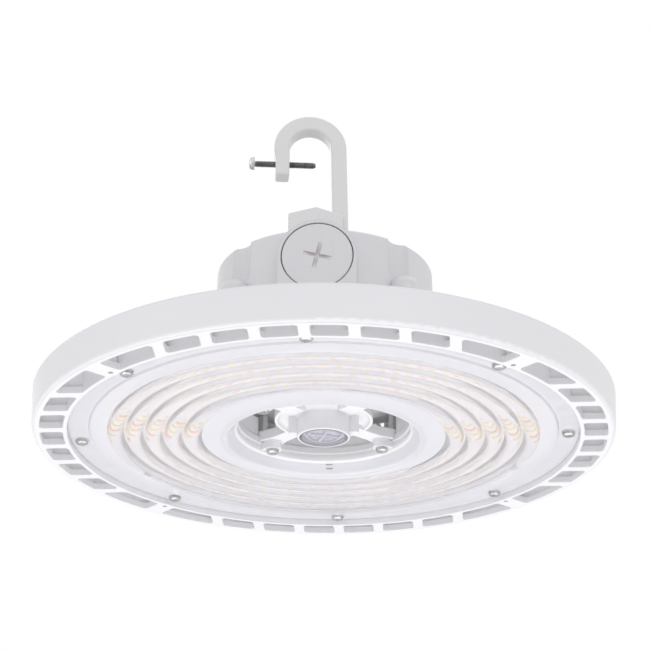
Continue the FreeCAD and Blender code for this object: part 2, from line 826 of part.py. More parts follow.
def make_lens():
    """The moulding: a stepped outer flange, five rounded ridges, a smooth dish down to the crest, the
    cone up to the inner flange, and four ears inside it."""
    body = add_body("lens_moulding")
    edge = pocket_radius - D["lens_clearance"]
    face, wall = D["lens_face_level"], D["lens_wall"]
    land = lens_land
    half_chord = ridge_pitch / 2
    ridge_radius = (half_chord * half_chord + D["ridge_rise"] * D["ridge_rise"]) / (D["ridge_rise"] * 2)
    cone_foot = crest_radius - 2
    profile = [(land, face), (land + 1, flange_level), (edge, flange_level), (edge, outer_seal_level)]
    profile += [(land, outer_seal_level), (land - 1, face + wall), (ridge_start, face + wall)]
    profile += [(crest_radius + 2.4, face + wall - 1), (inner_flange_radius + 5, inner_seal_level)]
    profile += [(inner_flange_radius, inner_seal_level), (inner_flange_radius, inner_flange_level)]
    profile += [(cone_foot, D["crest_level"] + 0.8, 2.6), (crest_radius + 1, D["crest_level"])]
    for number in range(RIDGES):
        profile.append((ridge_start + ridge_pitch * number, face, ridge_radius))
    profile.append((ridge_end, face))
    turned(body, "lens_form", profile)
    ears = add_sketch(body, "XY_Plane", "ear_outline", ear_level)
    ear, ring = D["ear_radius"], inner_flange_radius + 0.1
    middle = inner_screw_circle
    outline(ears, [(middle, -ear), (ring, -ear), (ring, ear), (middle, ear, ear),
                   (middle - ear, 0, ear)])
    ear_pad = raised(body, "ear", ears, D["ear_thick"])
    polar(body, "ears", [ear_pad], 4)
    body.Placement.Rotation = FreeCAD.Rotation(Vector(0, 0, 1), 45)
    shank = D["screw_radius"] + 0.2
    cuts = rods("outer_recess", D["screw_recess"], -1, flange_level, outer_screw_circle, evenly(8))
    cuts += rods("outer_way", shank, -1, ledge_level, outer_screw_circle, evenly(8))
    cuts += rods("inner_way", shank, 0, D["plate_level"], inner_screw_circle, DIAGONALS)
    return cut_from("lens", body, cuts)


def make_outer_gasket():
    outer = pocket_radius - D["lens_clearance"]
    ring = rod("outer_gasket_ring", outer, outer_seal_level, ledge_level)
    cuts = [rod("outer_gasket_inside", outer - D["seal_width"], outer_seal_level - 1, ledge_level + 1)]
    cuts += rods("outer_gasket_way", D["screw_radius"], outer_seal_level - 1, ledge_level + 1,
                 outer_screw_circle, evenly(8))
    return cut_from("lens_outer_gasket", ring, cuts)


def make_inner_gasket():
    inner = inner_flange_radius + D["inner_seal_gap"]
    ring = rod("inner_gasket_ring", inner + D["inner_seal_width"], inner_seal_level, D["plate_level"])
    cuts = [rod("inner_gasket_inside", inner, inner_seal_level - 1, D["plate_level"] + 1)]
    cuts.append(rod("inner_gasket_way", D["peg_hole"], inner_seal_level - 1, D["plate_level"] + 1,
                    peg_circle, 90))
    return cut_from("lens_inner_gasket", ring, cuts)


def make_board():
    """The ring-shaped circuit board, with its screw holes."""
    ring = rod("board_disc", board_outer, board_level, D["plate_level"])
    cuts = [rod("board_inside", board_inner, board_level - 1, D["plate_level"] + 1)]
    for circle, angles in board_screw_places:
        cuts += rods("board_way", D["small_screw_radius"] + 0.1, board_level - 1, D["plate_level"] + 1,
                     circle, angles)
    return cut_from("led_board", ring, cuts)


def make_packages(name, turns):
    """LED packages on five rings under the lens's ridges; turns picks the places in each three."""
    body = add_body(name)
    half_wide, half_long = D["package_width"] / 2, D["package_long"] / 2
    patterns = []
    for ring in range(RIDGES):
        circle = ridge_start + ridge_pitch * (ring + 0.5)
        threes = round(2 * math.pi * circle.value / (3 * D["package_pitch"].value))
        sketch = add_sketch(body, "XY_Plane", f"{name}_ring_{ring + 1}", package_level)
        for turn in turns:
            angle = 360 * (turn + ring * 0.5) / (threes * 3)
            across, up = cosine(angle), sine(angle)
            corners = []
            for out, aside in ((-1, -1), (1, -1), (1, 1), (-1, 1)):
                reach, shift = circle + half_long * out, half_wide * aside
                corners.append((reach * across - shift * up, reach * up + shift * across))
            outline(sketch, corners)
        pad = raised(body, f"{name}_pad_{ring + 1}", sketch, D["package_thick"])
        patterns.append(polar(body, f"{name}_pattern_{ring + 1}", [pad], threes))
    return body


def make_connector():
    """The white housing on the board's inner edge that takes the two leads."""
    body = add_body("board_connector")
    sketch = add_sketch(body, "XY_Plane", "connector_outline", board_level)
    half, deep = D["connector_long"] / 2, D["connector_wide"] / 2
    middle = -connector_circle
    outline(sketch, [(-half, middle - deep), (half, middle - deep), (half, middle + deep), (-half, middle + deep)])
    shell = raised(body, "connector_shell", sketch, D["connector_tall"], backwards=True)

    def long_edge(edge):
        ends = [vertex.Point for vertex in edge.Vertexes]
        low = board_level.value - D["connector_tall"].value
        return all(abs(end.z - low) < 0.01 for end in ends) or abs(ends[0].z - ends[-1].z) > 1

    rounded(body, shell, "connector_edges", 0.8, long_edge)
    mouth = add_sketch(body, "XZ_Plane", "connector_mouth", connector_circle - deep)
    height = board_level - D["connector_tall"] / 2
    for side in (-1, 1):
        disc(mouth, D["lead_spacing"] * side / 2, height, D["lead_radius"])
    sunk(body, "connector_mouths", mouth, 4, backwards=True)
    return body


def screw_profile(axis, seat, way, head_radius, head_tall, shank_radius, length):
    """Half the section of a pan head screw; way is 1 where the shank points up, -1 down."""
    axis = as_size(axis)
    tip = seat + length * way
    if way > 0:
        return [(axis, seat - head_tall), (axis + head_radius * 0.5, seat - head_tall, head_radius * 1.1),
                (axis + head_radius, seat - head_tall * 0.35), (axis + head_radius, seat),
                (axis + shank_radius, seat), (axis + shank_radius, tip - 0.8),
                (axis + shank_radius - 0.8, tip), (axis, tip)]
    return [(axis, tip), (axis + shank_radius - 0.8, tip), (axis + shank_radius, tip + 0.8),
            (axis + shank_radius, seat), (axis + head_radius, seat),
            (axis + head_radius, seat + head_tall * 0.35, head_radius * 1.1),
            (axis + head_radius * 0.5, seat + head_tall), (axis, seat + head_tall)]


def screw_circle(name, circle, count, turn, profile):
    """Like screws on a circle about the axis, the first at the turn's angle."""
    body = add_body(name)
    first = turned(body, name + "_first", profile, circle)
    polar(body, name + "_circle", [first], count)
    body.Placement.Rotation = FreeCAD.Rotation(Vector(0, 0, 1), turn)
    return body


def m4_screws(name, circle, count, turn, seat, way, length):
    profile = screw_profile(circle, seat, way, D["screw_head_radius"], D["screw_head_tall"],
                            D["screw_radius"], length)
    return screw_circle(name, circle, count, turn, profile)


def grouped(name, pieces):
    compound = doc.addObject("Part::Compound", name)
    compound.Links = pieces
    return compound


def make_board_screws():
    groups = []
    for number, (circle, angles) in enumerate(board_screw_places, 1):
        profile = screw_profile(circle, board_level, 1, D["small_head_radius"], D["small_head_tall"],
                                D["small_screw_radius"], D["small_screw_length"])
        if len(angles) == 6:
            groups.append(screw_circle(f"board_screws_{number}", circle, 6, angles[0], profile))
            continue
        for place, angle in enumerate(angles, 1):
            body = add_body(f"board_screw_{number}_{place}")
            turned(body, f"board_screw_form_{number}_{place}", profile, circle)
            body.Placement.Rotation = FreeCAD.Rotation(Vector(0, 0, 1), angle)
            groups.append(body)
    return grouped("board_screws", groups)


def make_sensor_cap():
    """The clear cup that closes the hub from below."""
    body = add_body("sensor_cap")
    outer, low = D["hub_bore"], D["hub_level"]
    turned(body, "sensor_cup", [
        (0, low),
        (outer - 0.8, low, 0.8),
        (outer, low + 0.8),
        (outer, low + D["cap_tall"]),
        (outer - D["cap_wall"], low + D["cap_tall"]),
        (outer - D["cap_wall"], low + D["cap_wall"]),
        (0, low + D["cap_wall"]),
    ])
    return body


def make_sensor_insert():
    """The round insert behind the cap, with five lobes standing in its face."""
    inside = D["hub_bore"] - D["cap_wall"]
    base = rod("insert_base", inside, insert_level + D["insert_tall"] / 2, sensor_seal_level)
    lobes = rods("insert_lobe", D["insert_lobe"], insert_level, insert_level + D["insert_tall"],
                 D["insert_circle"], evenly(5, 90))
    lobes.append(rod("insert_middle", D["insert_lobe"] - 0.8, insert_level, insert_level + D["insert_tall"]))
    return joined("sensor_insert", [base, *lobes])


def make_sensor_gasket():
    ring = rod("sensor_gasket_ring", D["hub_bore"], sensor_seal_level, sensor_board_level)
    inside = rod("sensor_gasket_inside", D["hub_bore"] - D["cap_wall"] * 2, sensor_seal_level - 1,
                 sensor_board_level + 1)
    return cut_from("sensor_gasket", ring, [inside])


def make_sensor_board():
    """The small round board on the gasket, with one component on its upper side."""
    top = sensor_board_level + D["sensor_board_thick"]
    disc_rod = rod("sensor_board_disc", D["hub_bore"], sensor_board_level, top)
    return joined("sensor_board", [disc_rod, block("sensor_board_part", (-3, -2, top), (3, 2, top + 1.5))])


def make_driver_tray():
    """The lower driver housing: a cup on the casting's fins, with four corner posts for the screws."""
    body = add_body("tray_form")
    low, top, wall = tray_level, split_level, D["tray_wall"]
    turned(body, "tray_cup", [
        (D["lead_bore"], low),
        (tray_radius - 2, low, 2),
        (tray_radius, low + 2),
        (tray_rim_radius, top),
        (tray_rim_radius - wall, top),
        (tray_radius - wall, low + wall),
        (D["lead_bore"], low + wall),
    ])
    post = add_sketch(body, "XY_Plane", "post_outline", low)
    disc(post, post_circle, 0, D["post_radius"])
    first_post = raised(body, "post", post, top - low)
    polar(body, "posts", [first_post], 4)
    body.Placement.Rotation = FreeCAD.Rotation(Vector(0, 0, 1), 45)
    pads = []
    for side, name in ((1, "right"), (-1, "left")):
        ends = sorted((D["driver_long"] * side / 2, (D["driver_long"] / 2 + D["driver_tab"]) * side),
                      key=lambda size: size.value)
        pads.append(block(f"{name}_driver_pad", (ends[0], -D["driver_tab"], low + wall - 0.5),
                          (ends[1], D["driver_tab"], low + wall + D["driver_lift"])))
    screw = D["screw_radius"]
    holes = rods("post_low_hole", screw, low - 1, tray_screw_seat + D["tray_screw_length"] + D["hole_spare"],
                 post_circle, DIAGONALS)
    holes += rods("post_top_hole", screw, foot_level - D["cover_screw_length"] - D["hole_spare"], top + 1,
                  post_circle, DIAGONALS)
    holes.append(rod("tray_lead_way", D["lead_hole"], low - 1, low + wall + 1, lead_tube_circle, 270))
    reach = D["driver_long"] / 2 + D["driver_tab"] / 2
    holes += rods("driver_screw_hole", D["small_screw_radius"], driver_level + D["driver_tab_thick"]
                  - D["small_screw_length"] - D["hole_spare"], driver_level + 1, reach, (0, 180))
    return cut_from("driver_tray", joined("tray_with_pads", [body, *pads]), holes)


def make_led_driver():
    """The potted driver: a block with rounded upright corners and a screw tab at each end."""
    body = add_body("driver_block")
    sketch = add_sketch(body, "XY_Plane", "driver_outline", driver_level)
    half, deep = D["driver_long"] / 2, D["driver_wide"] / 2
    outline(sketch, [(-half, -deep), (half, -deep), (half, deep), (-half, deep)])
    case = raised(body, "driver_case", sketch, D["driver_tall"])
    rounded(body, case, "driver_corners", 4, lambda edge: abs(
        edge.Vertexes[0].Point.z - edge.Vertexes[-1].Point.z) > 1)
    reach = D["driver_long"] / 2 + D["driver_tab"]
    tab = block("driver_tabs", (-reach, -D["driver_tab"], driver_level),
                (reach, D["driver_tab"], driver_level + D["driver_tab_thick"]))
    ways = rods("driver_tab_way", D["small_screw_radius"] + 0.2, driver_level - 1,
                driver_level + D["driver_tab_thick"] + 1, half + D["driver_tab"] / 2, (0, 180))
    return cut_from("led_driver", joined("driver_with_tabs", [body, tab]), ways)


def make_terminal_block():
    """The supply terminals on top of the driver, three wells wide."""
    top = driver_level + D["driver_tall"]
    half, deep = D["terminal_long"] / 2, D["terminal_wide"] / 2
    case = block("terminal_case", (-half, -deep, top), (half, deep, top + D["terminal_tall"]))
    wells = []
    for place in (-1, 0, 1):
        middle = D["terminal_long"] * place / 3
        wells.append(block(f"terminal_well_{place + 2}", (middle - 2.6, -2.6, top + 4),
                           (middle + 2.6, 2.6, top + D["terminal_tall"] + 1)))
    return cut_from("terminal_block", case, wells)


def make_lead_grommet():
    """The rubber bush in the tray's floor that the two leads pass through."""
    low, floor = tray_level, tray_level + D["tray_wall"]
    bush = rod("grommet_bush", D["lead_hole"], low, floor + D["grommet_lip"], lead_tube_circle, 270)
    lip = rod("grommet_collar", D["lead_hole"] + 0.4, floor, floor + D["grommet_lip"], lead_tube_circle, 270)
    cuts = []
    for place in (-1, 1):
        way = rod(f"grommet_way_{place + 2}", D["lead_radius"], low - 1, floor + D["grommet_lip"] + 1)
        bind(way, "Placement.Base.x", D["lead_spacing"] * place / 2)
        bind(way, "Placement.Base.y", -lead_tube_circle)
        cuts.append(way)
    return cut_from("lead_grommet", joined("grommet", [bush, lip]), cuts)


def make_led_leads():
    """Two leads: out of the connector, round one bend and straight up into the tray."""
    mouth = board_level - D["connector_tall"] / 2
    deep = connector_circle - D["connector_wide"] / 2
    wires = []
    for place, name in ((-1, "left"), (1, "right")):
        body = add_body(f"{name}_lead")
        across = D["lead_spacing"] * place / 2
        path = add_sketch(body, "YZ_Plane", f"{name}_lead_path")
        bind(path, "AttachmentOffset.Base.z", across)
        bend = 1.5
        start = (-(deep + 3.5), mouth)
        corner = (-lead_tube_circle - bend, mouth)
        after = (-lead_tube_circle, mouth + bend)
        top = (-lead_tube_circle, tray_level + D["tray_wall"] + 5)
        path.addGeometry(Part.LineSegment(flat(*start), flat(*corner)), False)
        path.addGeometry(arc_between(flat(*corner), flat(*after), bend), False)
        path.addGeometry(Part.LineSegment(flat(*after), flat(*top)), False)
        path.addConstraint(Sketcher.Constraint("Coincident", 0, 2, 1, 1))
        path.addConstraint(Sketcher.Constraint("Coincident", 1, 2, 2, 1))
        for geometry, point, place_at in ((0, 1, start), (1, 1, corner), (1, 2, after), (2, 2, top)):
            pin(path, geometry, point, *place_at)
        path.addConstraint(Sketcher.Constraint("Radius", 1, bend))
        section = add_sketch(body, "XZ_Plane", f"{name}_lead_section", deep + 3.5)
        disc(section, across, mouth, D["lead_radius"])
        pipe = body.newObject("PartDesign::AdditivePipe", f"{name}_lead_sweep")
        pipe.Profile = section
        pipe.Spine = (path, ["Edge1", "Edge2", "Edge3"])
        wires.append(body)
    return grouped("led_leads", wires)


def flute_places(name, radius, low, high):
    return rods(name, radius, low, high, post_circle, DIAGONALS)


def make_cover_cavity():
    """The hollow of the cover, which bulges inwards behind each flute."""
    low = cover_level - 1
    inside = rod("cavity_round", cover_top_radius - D["cover_wall"], low, cover_ceiling)
    bulges = flute_places("cavity_bulge", D["flute_radius"] + D["cover_wall"], low - 1, cover_ceiling + 1)
    return cut_from("cover_cavity", inside, bulges)


def make_driver_cover():
    """The upper driver housing: drafted drum, flutes over the four feet, front pad and hook boss."""
    body = add_body("cover_form")
    low, top = cover_level, cover_top_level
    edge = D["cover_round"]
    turned(body, "cover_drum", [
        (0, low),
        (cover_radius, low),
        (cover_top_radius, top - edge, edge),
        (cover_top_radius - edge, top),
        (0, top + D["cover_crown"]),
    ])
    pad = add_sketch(body, "XZ_Plane", "pad_outline", pad_face - D["pad_depth"])
    wide, level = D["pad_radius"], plug_level
    outline(pad, [(-wide, low), (wide, low), (wide, level, wide), (0, level + wide, wide), (-wide, level)])
    raised(body, "front_pad", pad, D["pad_depth"])
    centre = -D["hook_offset"]
    boss = D["hook_boss_radius"]
    turned(body, "hook_boss", [
        (centre, top - 1),
        (centre + boss + 3, top - 1),
        (centre + boss + 3, top + 0.5, ("back", 3.5)),
        (centre + boss + 0.5, top + 4),
        (centre + boss - 0.5, hook_boss_level - 1.5),
        (centre + boss - 2, hook_boss_level),
        (centre, hook_boss_level),
    ], centre)
    feet = add_body("cover_feet")
    axis, foot = post_circle, D["foot_radius"]
    foot_form = turned(feet, "foot", [
        (axis, low),
        (axis + foot, low),
        (axis + foot, foot_level),
        (axis + foot - 2, foot_level + D["foot_rise"] * 0.6),
        (axis, foot_level + D["foot_rise"]),
    ], axis)
    polar(feet, "four_feet", [foot_form], 4)
    feet.Placement.Rotation = FreeCAD.Rotation(Vector(0, 0, 1), 45)
    flutes = add_body("cover_flutes")
    flute = turned(flutes, "flute", [
        (axis, foot_level),
        (axis + D["foot_counterbore"], foot_level),
        (axis + D["foot_counterbore"], foot_level + 1.5, D["foot_rise"] * 1.4),
        (axis + D["flute_radius"], foot_level + D["foot_rise"]),
        (axis + D["flute_radius"], top + 3),
        (axis, top + 3),
    ], axis)
    polar(flutes, "four_flutes", [flute], 4)
    flutes.Placement.Rotation = FreeCAD.Rotation(Vector(0, 0, 1), 45)
    cuts = [flutes, make_cover_cavity()]
    cuts += rods("foot_way", D["screw_radius"] + 0.2, low - 1, foot_level + 1, post_circle, DIAGONALS)
    nipple = rod("nipple_way", D["nipple_radius"], cover_ceiling - 1, hook_boss_level + 1)
    bind(nipple, "Placement.Base.x", centre)
    cuts.append(nipple)
    outside = pad_face + 1
    cuts.append(lying("plug_seat", D["plug_radius"] + D["plug_gap"], plug_seat, outside, 0, level))
    cuts.append(lying("plug_way", D["plug_thread"], plug_seat - D["pad_depth"] / 2, outside, 0, level))
    cuts.append(lying("set_screw_way", D["set_screw_radius"], D["nipple_radius"] - 1, boss + 6,
                      centre, set_screw_level, 1))
    return cut_from("driver_cover", joined("cover_solid", [body, feet]), cuts)


def lying(name, radius, near, far, across, level, way=-1):
    """A cylinder along Y between two distances from the axis: in front with way -1, behind with 1."""
    cylinder = doc.addObject("Part::Cylinder", name)
    bind(cylinder, "Radius", radius)
    bind(cylinder, "Height", as_size(far) - near)
    cylinder.Placement.Rotation = FreeCAD.Rotation(Vector(1, 0, 0), -90 * way)
    bind(cylinder, "Placement.Base.x", across)
    bind(cylinder, "Placement.Base.y", as_size(near) * way)
    bind(cylinder, "Placement.Base.z", level)
    return cylinder


def make_access_plug():
    """The threaded plug: a flat cap level with the pad, its cross recess sunk with a round-nosed cutter."""
    level, face = plug_level, pad_face
    cap = lying("plug_cap_disc", D["plug_radius"], face - D["plug_cap"], face, 0, level)
    eased = doc.addObject("Part::Chamfer", "plug_cap")
    eased.Base = cap
    doc.recompute()
    rims = [n for n, edge in enumerate(cap.Shape.Edges, 1) if isinstance(edge.Curve, Part.Circle)
            and abs(edge.Curve.Center.y + face.value) < 0.01]
    eased.Edges = [(n, 0.4, 0.4) for n in rims]
    thread = lying("plug_thread_rod", D["plug_thread"], plug_seat - D["plug_length"], face - 1, 0, level)
    hollow = lying("plug_hollow", D["plug_thread"] - 3, plug_seat - D["plug_length"] - 1,
                   face - D["plug_cap"], 0, level)
    cutters = [hollow]
    half_long, half_wide, deep = D["cross_long"] / 2, D["cross_wide"] / 2, D["cross_deep"]
    sweep = (half_long * half_long + deep * deep) / (deep * 2)
    for number, turn in enumerate((0, 90), 1):
        cutter = doc.addObject("Part::Cylinder", f"cross_cutter_{number}")
        bind(cutter, "Radius", sweep)
        bind(cutter, "Height", half_wide * 2)
        angle = turn - D["cross_turn"].value
        tilt = FreeCAD.Rotation(Vector(0, 1, 0), -angle)
        cutter.Placement.Rotation = tilt
        bind(cutter, "Placement.Base.x", half_wide * sine(angle))
        bind(cutter, "Placement.Base.y", -(face + sweep - deep))
        bind(cutter, "Placement.Base.z", level - half_wide * cosine(angle))
        cutters.append(cutter)
    return cut_from("access_plug", joined("plug_solid", [eased, thread]), cutters)


def make_plug_o_ring():
    ring = lying("o_ring_disc", D["plug_radius"] - 1, plug_seat, pad_face - D["plug_cap"], 0, plug_level)
    inside = lying("o_ring_inside", D["plug_thread"], plug_seat - 1, pad_face, 0, plug_level)
    return cut_from("plug_o_ring", ring, [inside])


def make_cover_gasket():
    """The flat seal between tray and cover, with a lobe round each screw."""
    low, high = split_level, cover_level
    outer = rod("cover_gasket_disc", tray_rim_radius, low, high)
    lobes = rods("cover_gasket_lobe", D["post_radius"] - 0.3, low, high, post_circle, DIAGONALS)
    cuts = [rod("cover_gasket_inside", tray_rim_radius - D["tray_wall"], low - 1, high + 1)]
    cuts += rods("cover_gasket_way", D["screw_radius"] + 0.2, low - 1, high + 1, post_circle, DIAGONALS)
    return cut_from("cover_gasket", joined("cover_gasket_solid", [outer, *lobes]), cuts)


def hook_profile():
    """Corners of the J: leaning stem, half-round saddle and the tip with its flat for the screw."""
    inner, outer = D["saddle_radius"], D["saddle_radius"] + D["hook_width"]
    centre, level, lean = -D["saddle_shift"], saddle_level, D["stem_lean"]
    foot = hook_seat_level

    def stem_side(radius):
        top = (centre + radius * cosine(lean), level - radius * sine(lean))
        return top, (top[0] + (top[1] - foot) * sine(lean) / cosine(lean), foot)

    inner_top, inner_foot = stem_side(inner)
    outer_top, outer_foot = stem_side(outer)
    tip_side = outer - D["tip_flat"]
    return [
        inner_foot,
        outer_foot,
        (*outer_top, outer),
        (centre, level + outer, outer),
        (centre - tip_side, level - other_leg(outer, tip_side)),
        (centre - tip_side, tip_level),
        (centre - inner, tip_level),
        (centre - inner, level, ("back", inner)),
        (centre, level + inner, ("back", inner)),
        inner_top,
    ]


def make_hook():
    """The cast hook: J and hexagonal hub rounded at their edges, and the hollow threaded nipple."""
    bend = add_body("hook_bend")
    sketch = add_sketch(bend, "XZ_Plane", "hook_outline")
    outline(sketch, hook_profile())
    form = raised(bend, "hook_form", sketch, D["hook_deep"], both_ways=True)
    foot = hook_seat_level.value

    def hook_edge(edge):
        ends = [vertex.Point.z for vertex in edge.Vertexes]
        across = abs(edge.Vertexes[0].Point.y - edge.Vertexes[-1].Point.y) > 1
        at_tip = all(abs(end - tip_level.value) < 0.01 for end in ends)
        return at_tip or (not across and max(ends) > foot + 1)

    rounded(bend, form, "hook_edges", D["hook_edge"], hook_edge)
    hub = add_body("hook_hub")
    hexagon = add_sketch(hub, "XY_Plane", "hub_outline", hook_seat_level)
    corner = D["hex_flats"] / math.sqrt(3)
    outline(hexagon, [(corner * cosine(angle), corner * sine(angle)) for angle in evenly(6, 30)])
    hub_form = raised(hub, "hub_form", hexagon, hex_top_level - hook_seat_level)
    rounded(hub, hub_form, "hub_edges", 1.0, lambda edge: edge.BoundBox.ZMax > foot + 1)
    nipple = rod("nipple", D["nipple_radius"], nipple_end_level, hook_seat_level + 1)
    ways = [rod("nipple_hollow", D["nipple_bore"], nipple_end_level - 1, hex_top_level + 1)]
    keeper_way = doc.addObject("Part::Cylinder", "keeper_way")
    bind(keeper_way, "Radius", D["screw_radius"])
    bind(keeper_way, "Height", D["hook_width"] + 10)
    keeper_way.Placement.Rotation = FreeCAD.Rotation(Vector(0, 1, 0), 90)
    bind(keeper_way, "Placement.Base.x", -(D["saddle_shift"] + D["saddle_radius"] + D["hook_width"] + 5))
    bind(keeper_way, "Placement.Base.z", keeper_level)
    ways.append(keeper_way)
    hook = cut_from("hook", joined("hook_solid", [bend, hub, nipple]), ways)
    return on_hook_axis(hook)


def on_hook_axis(piece):
    """Turns a piece made about the hook's own axis and stands it on the cover's boss."""
    piece.Placement.Rotation = FreeCAD.Rotation(Vector(0, 0, 1), D["hook_turn"].value)
    bind(piece, "Placement.Base.x", -D["hook_offset"])
    return piece


def make_keeper_screw():
    body = add_body("keeper_screw")
    turned(body, "keeper_form", screw_profile(0, Size(0, "0"), 1, D["keeper_head_radius"], D["keeper_head_tall"],
                                              D["screw_radius"], D["keeper_length"]))
    turn = FreeCAD.Rotation(Vector(0, 0, 1), D["hook_turn"].value)
    body.Placement.Rotation = turn.multiply(FreeCAD.Rotation(Vector(0, 1, 0), 90))
    bind(body, "Placement.Base.x", -(D["hook_offset"] + D["keeper_reach"] * cosine(D["hook_turn"])))
    bind(body, "Placement.Base.y", -(D["keeper_reach"] * sine(D["hook_turn"])))
    bind(body, "Placement.Base.z", keeper_level)
    return body


def make_hook_gasket():
    ring = rod("hook_gasket_disc", D["hex_flats"] / 2, hook_boss_level, hook_seat_level)
    inside = rod("hook_gasket_inside", D["nipple_radius"], hook_boss_level - 1, hook_seat_level + 1)
    return on_hook_axis(cut_from("hook_gasket", ring, [inside]))


def make_locknut():
    body = add_body("locknut_form")
    sketch = add_sketch(body, "XY_Plane", "locknut_outline", cover_ceiling - D["locknut_thick"])
    corner = D["locknut_flats"] / math.sqrt(3)
    outline(sketch, [(corner * cosine(angle), corner * sine(angle)) for angle in evenly(6)])
    disc(sketch, 0, 0, D["nipple_radius"])
    raised(body, "locknut_pad", sketch, D["locknut_thick"])
    body.Label = "hook_locknut"
    return on_hook_axis(body)


def make_set_screw():
    near = D["nipple_radius"]
    pin_rod = lying("set_screw_rod", D["set_screw_radius"], near, near + D["set_screw_length"],
                    -D["hook_offset"], set_screw_level, 1)
    socket = lying("set_screw_socket", D["set_screw_radius"] / 2, near + D["set_screw_length"] - 2.5,
                   near + D["set_screw_length"] + 1, -D["hook_offset"], set_screw_level, 1)
    return cut_from("hook_set_screw", pin_rod, [socket])


def make_all():
    """Every sub-part of the light, each with the label that names its file."""
    reach = D["driver_long"] / 2 + D["driver_tab"] / 2
    tab_top = driver_level + D["driver_tab_thick"]
    driver_screws = screw_profile(reach, tab_top, -1, D["small_head_radius"], D["small_head_tall"],
                                  D["small_screw_radius"], D["small_screw_length"])
    return [
        make_heat_sink(),
        make_lens(),
        make_outer_gasket(),
        make_inner_gasket(),
        m4_screws("outer_lens_screws", outer_screw_circle, 8, 0, flange_level, 1, D["lens_screw_length"]),
        m4_screws("inner_lens_screws", inner_screw_circle, 4, 45, ear_level, 1, D["lens_screw_length"]),
        make_board(),
        make_packages("warm_leds", (0,)),
        make_packages("cool_leds", (1, 2)),
        make_connector(),
        make_board_screws(),
        make_sensor_cap(),
        make_sensor_insert(),
        make_sensor_gasket(),
        make_sensor_board(),
        make_driver_tray(),
        m4_screws("tray_screws", post_circle, 4, 45, tray_screw_seat, 1, D["tray_screw_length"]),
        make_lead_grommet(),
        make_led_leads(),
        make_led_driver(),
        screw_circle("driver_screws", reach, 2, 0, driver_screws),
        make_terminal_block(),
        make_driver_cover(),
        make_cover_gasket(),
        m4_screws("cover_screws", post_circle, 4, 45, foot_level, -1, D["cover_screw_length"]),
        make_access_plug(),
        make_plug_o_ring(),
        make_hook(),
        make_keeper_screw(),
        make_hook_gasket(),
        make_locknut(),
        make_set_screw(),
    ]


def check(pieces):
    """Stops if anything in the document failed, or if a sub-part is empty or not valid."""
    failed = [item.Name for item in doc.Objects if {"Invalid", "Error"} & set(item.State)]
    failed += [piece.Label for piece in pieces if piece.Shape.isNull() or not piece.Shape.isValid()]
    if failed:
        raise SystemExit("failed: " + ", ".join(failed))


pieces = make_all()
doc.recompute()
check(pieces)
os.makedirs("parts", exist_ok=True)
for piece in pieces:
    piece.Shape.exportStep(f"parts/{piece.Label}.step")
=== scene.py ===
import math

import bmesh
import bpy
from mathutils import Matrix, Quaternion, Vector


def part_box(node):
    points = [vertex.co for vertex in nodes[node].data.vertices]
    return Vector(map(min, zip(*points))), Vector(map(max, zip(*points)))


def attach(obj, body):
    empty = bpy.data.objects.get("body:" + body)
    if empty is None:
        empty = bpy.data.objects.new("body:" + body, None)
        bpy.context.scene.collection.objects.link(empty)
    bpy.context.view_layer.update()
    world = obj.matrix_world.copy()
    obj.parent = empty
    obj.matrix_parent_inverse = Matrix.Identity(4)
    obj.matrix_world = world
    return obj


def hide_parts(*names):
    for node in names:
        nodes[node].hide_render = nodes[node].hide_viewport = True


MM = 0.001
FULL_TURN = 2 * math.pi

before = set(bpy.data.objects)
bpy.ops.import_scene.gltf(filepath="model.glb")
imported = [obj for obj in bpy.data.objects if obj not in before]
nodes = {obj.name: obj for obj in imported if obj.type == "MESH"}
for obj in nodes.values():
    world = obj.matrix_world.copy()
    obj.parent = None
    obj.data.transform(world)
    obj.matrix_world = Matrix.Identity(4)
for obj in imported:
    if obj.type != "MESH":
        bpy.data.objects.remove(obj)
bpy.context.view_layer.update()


# ---------------------------------------------------------------- shader groups

COLOUR, NUMBER, VECTOR = "NodeSocketColor", "NodeSocketFloat", "NodeSocketVector"


def new_group(name, inputs):
    """A shader group: its inputs, given as (name, kind, default), and its three outputs."""
    group = bpy.data.node_groups.new(name, "ShaderNodeTree")
    for title, kind, default in inputs:
        socket = group.interface.new_socket(title, in_out="INPUT", socket_type=kind)
        socket.default_value = default
    for title, kind in (("Colour", COLOUR), ("Roughness", NUMBER), ("Normal", VECTOR)):
        group.interface.new_socket(title, in_out="OUTPUT", socket_type=kind)
    return group, group.nodes.new("NodeGroupInput"), group.nodes.new("NodeGroupOutput")


def add(tree, kind, **values):
    """A new node with its own settings."""
    node = tree.nodes.new(kind)
    for name, value in values.items():
        setattr(node, name, value)
    return node


def put(node, **values):
    """Sets a node's sockets; an underscore in a name stands for a space."""
    for name, value in values.items():
        node.inputs[name.replace("_", " ")].default_value = value
    return node


def ramp(tree, source, low, high, to_low=0.0, to_high=1.0):
    """A smooth step between two values."""
    node = add(tree, "ShaderNodeMapRange", interpolation_type="SMOOTHSTEP")
    put(node, From_Min=low, From_Max=high, To_Min=to_low, To_Max=to_high)
    tree.links.new(source, node.inputs["Value"])
    return node.outputs["Result"]


def combine(tree, first, second, operation="MULTIPLY"):
    """Two sockets or numbers made one."""
    node = add(tree, "ShaderNodeMath", operation=operation)
    for index, value in enumerate((first, second)):
        if isinstance(value, (int, float)):
            node.inputs[index].default_value = value
        else:
            tree.links.new(value, node.inputs[index])
    return node.outputs["Value"]


def noise(tree, coordinates, scale, detail):
    node = put(add(tree, "ShaderNodeTexNoise"), Scale=scale, Detail=detail)
    tree.links.new(coordinates, node.inputs["Vector"])
    return node.outputs["Fac"]


def object_place(tree):
    return add(tree, "ShaderNodeTexCoord").outputs["Object"]


